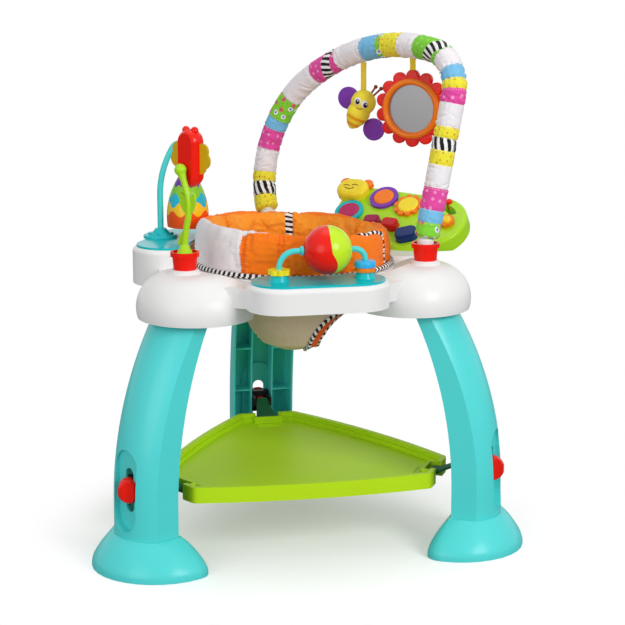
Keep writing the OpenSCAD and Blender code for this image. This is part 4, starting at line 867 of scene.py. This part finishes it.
SEAT_CLOTH = fabric("seat_orange", wall_print, 0.1, 0.5, 1400.0)
PANEL_CLOTH = fabric("seat_panel", "#E9E6EA", 0.05, 0.3, 1600.0)
SLING_CLOTH = fabric("seat_sling_cloth", "#E6CBB4", 0.12, 0.4, 900.0)
BIND_CLOTH = fabric("seat_binding", "#FF5E10", 0.08, 0.4)
STRIPE_CLOTH = fabric("seat_stripes", lambda net: net.mix(zebra(net, 0.0088, 0.5, 0.12, False, 0.1),
                                                          lin("#F4F4F4"), lin("#121214")), 0.03)
WALL = make_wall()
WALL_OUT = outward(WALL)
wall_angle, wall_arc = wall_grid(*WALL.shape[:2])
wall_uv = np.stack([np.radians(wall_angle) * WALL_R * MM, wall_arc * MM], -1).reshape(-1, 2)
wall_skin = grid_faces(*WALL.shape[:2], close_rows=True, flip=True)
seat_wall = add("seat_wall", WALL.reshape(-1, 3) * MM, wall_skin, SEAT_CLOTH, uv=wall_uv)
place(seat_wall, "seat", "seat_cover", slot="orange_fabric")


def on_wall(angle, arc, lift):
    """Points on the finished wall, lifted off it by some mm."""
    angle, arc, lift = np.broadcast_arrays(*[np.asarray(v, float) for v in (angle, arc, lift)])
    rows, cols = WALL.shape[:2]
    i, j = angle % 360 * rows / 360, arc % GIRTH * cols / GIRTH
    i0, j0 = np.floor(i).astype(int), np.floor(j).astype(int)
    fi, fj = (i - i0)[..., None], (j - j0)[..., None]

    def blend(grid):
        a, b = grid[i0 % rows, j0 % cols], grid[(i0 + 1) % rows, j0 % cols]
        c, d = grid[i0 % rows, (j0 + 1) % cols], grid[(i0 + 1) % rows, (j0 + 1) % cols]
        return (a * (1 - fi) + b * fi) * (1 - fj) + (c * (1 - fi) + d * fi) * fj
    return blend(WALL) + blend(WALL_OUT) * lift[..., None]


def wall_patch(name, angles, low, high, mat, count=40, lift=0.9):
    """A sewn-on piece of cloth over the wall, between two arcs at each angle."""
    t = np.linspace(0, 1, count)
    A = np.repeat(np.asarray(angles, float)[:, None], count, 1)
    S = np.asarray(low)[:, None] * (1 - t) + np.asarray(high)[:, None] * t
    edge = np.minimum(np.minimum(t, 1 - t) * 30, 1)[None] * np.minimum(
        np.minimum(np.arange(len(angles)), np.arange(len(angles))[::-1]) / 2.0, 1)[:, None]
    top = on_wall(A, S, lift * edge + 0.1)
    uv = np.stack([np.radians(A) * WALL_R * MM, S * MM], -1)
    faces = grid_faces(len(angles), count, close_cols=False, flip=True)
    obj = add(name, top.reshape(-1, 3) * MM, faces, mat, uv=uv.reshape(-1, 2))
    place(obj, "seat")


main_angles = np.linspace(166, 226.5, 62)
main_high = RIM_AT + 14 - np.clip(main_angles - 198, 0, 40) * 0.2
wall_patch("seat_label_panel", main_angles, np.full(62, 4.0), main_high, PANEL_CLOTH)
strip_angles = np.linspace(225.5, 246, 24)
strip_high = RIM_AT + 14 - (strip_angles - 198) * 0.2
strip_low = RIM_AT - 13 + (strip_angles - 225.5) * 0.75
strip_low = np.minimum(strip_low, strip_high - 1.5)
wall_patch("seat_panel_strip", strip_angles, strip_low, strip_high, PANEL_CLOTH, 20)
stripe_low, stripe_high = np.full(8, RIM_AT + 3.0), np.full(8, RIM_AT + 62.0)
wall_patch("seat_back_stripe", np.linspace(79, 84.6, 8), stripe_low, stripe_high, STRIPE_CLOTH)
panel_edges = [(main_angles[1:-1], 8.0), (main_angles[1:-1], main_high[1:-1] - 3),
               (168.0, np.linspace(8, RIM_AT + 10, 40)), (224.6, np.linspace(8, RIM_AT + 6, 40))]
panel_lines = [(on_wall(angle, arc, 1.1) * MM, False) for angle, arc in panel_edges]
stitch("panel_stitches", panel_lines, "seat", THREAD)
ORANGE_THREAD = fabric("orange_thread", "#E0560C", 0.05, 0.1)
wall_seams = [(on_wall(angle + side, np.linspace(6, GIRTH - 34, 90), 0.25) * MM, False)
              for angle in SEAMS for side in (-1.7, 1.7)]
stitch("wall_stitches", wall_seams, "seat", ORANGE_THREAD)
arcs = np.linspace(3, RIM_AT + 4, 60)
swing = np.clip((arcs - RIM_AT + 22) / 26, 0, 1) ** 2 * 22
tube_path = on_wall(330 - swing, arcs, 1.0) * MM
place(tube("seat_side_piping", tube_path, 0.0029, STRIPE_CLOTH), "seat")

PIPING_R, PIPING_Z, PIPING_CORD = 0.1442, 0.4072, 0.0036
ring = np.linspace(0, 2 * math.pi, 240, endpoint=False)
piping_path = np.stack([PIPING_R * np.cos(ring), PIPING_R * np.sin(ring), np.full(240, PIPING_Z)], 1)
piping = tube("seat_piping_cord", piping_path, PIPING_CORD, STRIPE_CLOTH, 14, closed=True)
place(piping, "seat", "seat_piping", slot="piping_fabric")

# Sling: a bowl of cloth with two bound leg holes

SLING_Z, SLING_TOP = 273.0, 403.3
RIM = WALL_R - 0.85 * WALL_PAD
SLING_LINE = np.array([[0, 1], [20, 0.985], [RIM - 66, 0.9], [RIM - 51, 0.755], [RIM - 38, 0.58],
                       [RIM - 22, 0.41], [RIM - 6, 0.2], [RIM, 0.0]])
HOLE_D = 80.0
HOLE_AT = np.array([0.77 * HOLE_D, 0, SLING_Z + 34])
HOLE_AXIS = np.array([-1.0, 0, 1.0]) * math.sqrt(0.5)
HOLE_ANGLES = (40 - 58, 40 + 58)


def sling_line(t):
    """Radius and height of the bowl's middle line at fraction t from its lowest point."""
    d = np.diff(SLING_LINE * [1, SLING_TOP - SLING_Z], axis=0)
    at = np.concatenate([[0], np.cumsum(np.linalg.norm(d, axis=1))])
    at /= at[-1]
    r = np.interp(t, at, SLING_LINE[:, 0])
    z = SLING_TOP - np.interp(t, at, SLING_LINE[:, 1]) * (SLING_TOP - SLING_Z)
    return r - 1.2, z + 0.8


def hole_distance(p, angle):
    """Distance of points from a leg hole's axis, and their place along it."""
    q = turn_z(p, -angle) - HOLE_AT
    along = q @ HOLE_AXIS
    return np.linalg.norm(q - along[..., None] * HOLE_AXIS, axis=-1), along


def make_sling():
    """The bowl of cloth, cut away at the leg holes."""
    rows, cols = 96, 240
    t = np.linspace(0.012, 1, rows)
    r, z = sling_line(t)
    a = np.linspace(0, 2 * math.pi, cols, endpoint=False)
    drape = 1 + 0.006 * np.sin(9 * a)[None] * (t[:, None] ** 2)
    wide = r[:, None] * drape
    p = np.stack([wide * np.cos(a), wide * np.sin(a), np.repeat(z[:, None], cols, 1)], -1)
    keep = np.ones((rows, cols), bool)
    for angle in HOLE_ANGLES:
        d, along = hole_distance(p, angle)
        keep &= ~((d < HOLE_D / 2 + 2) & (np.abs(along) < 65))
    flat = p.reshape(-1, 3)
    ok = keep.ravel()
    faces = [f for f in grid_faces(rows, cols) if ok[list(f)].all()]
    used = np.unique(np.array(faces))
    index = -np.ones(len(flat), int)
    index[used] = np.arange(len(used))
    faces = [tuple(index[list(f)]) for f in faces]
    obj = add("sling_cloth", flat[used] * MM, faces, SLING_CLOTH)
    solid = obj.modifiers.new("thickness", "SOLIDIFY")
    solid.thickness = 0.0018
    solid.offset = 0
    place(obj, "seat", "seat_sling", slot="sling_fabric")


def hole_edge(angle, radius, lift, count=120):
    """Points of the bowl at a distance from a leg hole's axis, lifted outwards."""
    r, z = sling_line(np.linspace(0.0, 1.0, 900))
    e1, e2 = np.array([1.0, 0, 1.0]) * math.sqrt(0.5), np.array([0, 1.0, 0])
    reach = np.linspace(-64, 64, 700)[:, None]
    out = []
    for w in np.linspace(0, 2 * math.pi, count, endpoint=False):
        line = HOLE_AT + radius * (math.cos(w) * e1 + math.sin(w) * e2) + reach * HOLE_AXIS
        gap = np.hypot(line[:, 0], line[:, 1]) - np.interp(line[:, 2], z, r, left=0, right=RIM)
        outside = np.where(line[:, 2] < z[0], 1.0, gap)
        p = line[int(np.argmax(outside < 0))]
        flat = np.array([p[0], p[1], 0.0])
        n = flat / max(np.linalg.norm(flat), 1e-6) * 0.75 - np.array([0, 0, 0.66])
        out.append(p + n * lift)
    return turn_z(np.array(out), angle)


make_sling()
for side, angle in zip(("right", "left"), HOLE_ANGLES):
    inner = hole_edge(angle, HOLE_D / 2, 1.8)
    outer = hole_edge(angle, HOLE_D / 2 + 14, 3.2)
    band = np.stack([inner * (1 - t) + outer * t for t in (0, 0.25, 0.5, 0.75, 1)], 1)
    faces = grid_faces(len(inner), 5, close_rows=True, close_cols=False)
    strip = add(f"leg_hole_binding_{side}", band.reshape(-1, 3) * MM, faces, BIND_CLOTH)
    strip.modifiers.new("thickness", "SOLIDIFY").thickness = 0.0015
    place(strip, "seat")
    for part, line in (("inner", inner), ("outer", outer)):
        cord = tube(f"leg_hole_cord_{side}_{part}", line * MM, 0.0028, STRIPE_CLOTH, 10, closed=True)
        place(cord, "seat")


# Elastic straps of the platform

STRAP_CLOTH = fabric("strap_webbing", "#17643A", 0.1, 0.3, 2600.0)
STRAP_X, STRAP_Z, STRAP_HALF = (216.5, 264.5), (102.5, 123.0), (18.2, 9.8)
STRAP_SIDES = 24


def make_strap(name, angle):
    """An elastic strap from the platform's corner up to its slider, thicker at the two eyes."""
    along = np.linspace(0, 1, 40)
    x, z = (a + (b - a) * along for a, b in (STRAP_X, STRAP_Z))
    half = STRAP_HALF[0] + (STRAP_HALF[1] - STRAP_HALF[0]) * np.clip(along * 1.12, 0, 1)
    thick = 2.2 + 4.0 * np.exp(-(along / 0.13) ** 2) + 4.2 * np.exp(-((1 - along) / 0.13) ** 2)
    tilt = math.atan2(STRAP_Z[1] - STRAP_Z[0], STRAP_X[1] - STRAP_X[0])
    x = np.concatenate([[x[0] - 5.2, x[0] - 3.5], x, [x[-1] + 3.5, x[-1] + 5.2]])
    z = np.concatenate([[z[0] - 1.2, z[0] - 0.8], z, [z[-1] + 0.8, z[-1] + 1.2]])
    half = np.concatenate([[half[0]] * 2, half, [half[-1]] * 2])
    thick = np.concatenate([[1.2, 4.6], thick, [4.6, 1.2]])
    q = np.linspace(0, 2 * math.pi, STRAP_SIDES, endpoint=False)
    wide = np.sign(np.cos(q)) * np.abs(np.cos(q)) ** 0.35
    high = thick[:, None] * np.sign(np.sin(q)) * np.abs(np.sin(q)) ** 0.6
    x, z = x[:, None], z[:, None]
    v = np.stack([x - high * math.sin(tilt), half[:, None] * wide, z + high * math.cos(tilt)], -1)
    v = turn_z(v.reshape(-1, 3), angle) * MM
    strap = add(f"elastic_{name}", v, capped_faces(len(x), STRAP_SIDES), STRAP_CLOTH)
    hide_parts(f"strap_{name}")
    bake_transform(strap)


for name, angle in (("left", 210), ("right", 330), ("back", 90)):
    make_strap(name, angle)


# Hanging straps

RIBBON = fabric("ribbon", "#F4D73A", 0.06, 0.2, 2400.0)
RIBBON_EDGE = ((-1, -0.6), (-0.8, -0.75), (0.8, -0.75), (1, -0.6),
               (1, 0.6), (0.8, 0.75), (-0.8, 0.75), (-1, 0.6))
RIBBON_ROWS, RIBBON_HALF, RIBBON_TUCK = 20, 4.4, 0.0015


def make_ribbon(name, body):
    """A hanging ribbon over its solid, a little waisted and bowed, its top tucked under the sleeve."""
    low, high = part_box(name)
    centre = np.array([(low[0] + high[0]) / 2, (low[1] + high[1]) / 2, 0]) / MM
    heights = np.linspace(low[2], high[2] + RIBBON_TUCK, RIBBON_ROWS) / MM
    rows = []
    for t, z in zip(np.linspace(0, math.pi, RIBBON_ROWS), heights):
        wide, bow = RIBBON_HALF - 0.25 * math.sin(t), 0.25 * math.sin(2 * t)
        for u, w in RIBBON_EDGE:
            rows.append(centre + BEE_X * wide * u - BEE_OUT * (w + bow) + np.array([0, 0, z]))
    faces = capped_faces(RIBBON_ROWS, len(RIBBON_EDGE))
    place(add(f"{name}_ribbon", np.array(rows) * MM, faces, RIBBON), body, name, slot="ribbon")


make_ribbon("bee_strap", "bee")
make_ribbon("mirror_strap", "mirror")


# Faces of the bee and of the piano's animal head

def on_bee(x, z):
    """A point of the bee's head and its outward direction, from a place seen from the front in mm."""
    out = BEE_OUT * math.sqrt(max(BEE_HEAD ** 2 - x * x - z * z, 1.0)) + BEE_X * x + np.array([0, 0, z])
    return BEE_AT + out, out / np.linalg.norm(out)


def eye(x, z, size, sink, kind):
    """A part of an eye: its centre, half axes and material number."""
    spot, out = on_bee(x, z)
    side = np.cross(np.array([0, 0, 1.0]), out)
    side /= np.linalg.norm(side)
    return spot - out * sink, (side * size, np.cross(out, side) * size * 1.15, out * 2.4), kind


bee_eyes = []
# Each eye: a white, a black pupil, and a small white dot lifted over them as a painted highlight (glint)
for x, z in ((-2.5, 3.5), (8.5, -1.5)):
    bee_eyes += [eye(x, z, 5.4, 0.6, 0), eye(x + 0.9, z - 0.9, 3.6, -0.6, 1),
                 eye(x + 1.9, z + 0.4, 1.1, -2.1, 0)]
lump("bee_eyes", bee_eyes, [EYE_WHITE_AND_GLINT, INK], "bee")
bow = np.linspace(-1, 1, 17)
smile = np.array([on_bee(1.0 + 5.5 * t, -8.5 + 2.4 * t * t)[0] for t in bow])
place(tube("bee_smile", smile * MM, 0.0006, BROWN, 8), "bee")
HEAD_AT, HEAD_TOP = (-95, 48.5), 15.15
for part, x, y, wide, deep in (("left_eye", -9, 2, 5, -2.4), ("right_eye", 5, 4, 5, -2.4),
                               ("smile", -2.5, -6.5, 8, 3.2)):
    arc = np.array([on_face(HEAD_AT[0] + x + wide * t, HEAD_AT[1] + y + deep * t * t, HEAD_TOP) for t in bow])
    place(tube(f"piano_head_{part}", arc * MM, 0.0007, BROWN, 8), "frame")


# Studio

scene = bpy.context.scene
world = bpy.data.worlds.new("studio")
scene.world = world
world.use_nodes = True
net = Net(world.node_tree)
back = world.node_tree.nodes["Background"]
path_info = net.new("ShaderNodeLightPath").outputs
seen = net.math("MAXIMUM", net.math("MAXIMUM", path_info["Is Camera Ray"], path_info["Is Glossy Ray"]),
                path_info["Is Transmission Ray"])
ROOM_LIGHT = 0.49
net.put(back.inputs["Strength"], net.math("MULTIPLY_ADD", seen, 1 - ROOM_LIGHT, ROOM_LIGHT))
back.inputs["Color"].default_value = (1, 1, 1, 1)


def lamp(name, spot, size, power, aim=(0, 0, 0.35)):
    data = bpy.data.lights.new(name, "AREA")
    data.shape, data.size, data.energy = "DISK", size, power
    obj = link(name, data)
    obj.location = spot
    obj.rotation_euler = (Vector(aim) - Vector(spot)).to_track_quat("-Z", "Y").to_euler()


lamp("key", (1.3, -2.4, 1.5), 1.3, 37)
lamp("fill", (-1.9, -2.0, 1.0), 1.8, 17)
lamp("top", (0.1, 0.2, 2.6), 1.6, 8)


FLOOR_BOUNCE, FLOOR_SEEN, FLOOR_GLOW = 0.35, 0.95, 0.28
SHADOW_FROM, SHADOW_TO = 0.27, 0.42
FLOOR_HALF, FLOOR_DROP = 9, 0.0005


def make_floor():
    """A pale floor that keeps the shadow by the feet, fades to white and throws little light back."""
    made = bpy.data.materials.new("floor")
    made.use_nodes = True
    net = Net(made.node_tree)
    bsdf = made.node_tree.nodes["Principled BSDF"]
    bsdf.inputs["Roughness"].default_value = 0.9
    bsdf.inputs["Specular IOR Level"].default_value = 0.0
    bsdf.inputs["Emission Color"].default_value = (1, 1, 1, 1)
    seen = net.new("ShaderNodeLightPath").outputs["Is Camera Ray"]
    greys = [(grey, grey, grey, 1) for grey in (FLOOR_BOUNCE, FLOOR_SEEN)]
    net.put(bsdf.inputs["Base Color"], net.mix(seen, *greys))
    net.put(bsdf.inputs["Emission Strength"], net.math("MULTIPLY", seen, FLOOR_GLOW))
    white = net.new("ShaderNodeEmission")
    fade = net.new("ShaderNodeMapRange", interpolation_type="SMOOTHSTEP")
    net.put(fade.inputs["Value"], net.length(net.coords()))
    fade.inputs["From Min"].default_value = SHADOW_FROM
    fade.inputs["From Max"].default_value = SHADOW_TO
    mixer = net.new("ShaderNodeMixShader")
    net.put(mixer.inputs[0], net.math("MULTIPLY", seen, fade.outputs[0]))
    net.put(mixer.inputs[1], bsdf.outputs[0])
    net.put(mixer.inputs[2], white.outputs[0])
    net.put(made.node_tree.nodes["Material Output"].inputs["Surface"], mixer.outputs[0])
    corners = [(x * FLOOR_HALF, y * FLOOR_HALF, -FLOOR_DROP) for x, y in ((-1, -1), (1, -1), (1, 1), (-1, 1))]
    add("floor", corners, [(0, 1, 2, 3)], made, False)


make_floor()

camera = bpy.data.cameras.new("camera")
camera.lens, camera.sensor_width, camera.clip_end = 107.35, 36.0, 50.0
viewer = link("camera", camera)
viewer.location = (-0.5236, -2.6474, 0.9109)
heading, tilt = math.radians(-11.796), 0.213
look = Vector((-math.sin(heading) * math.cos(tilt), math.cos(heading) * math.cos(tilt), -math.sin(tilt)))
viewer.rotation_euler = look.to_track_quat("-Z", "Y").to_euler()
scene.camera = viewer
scene.view_settings.view_transform = "Standard"
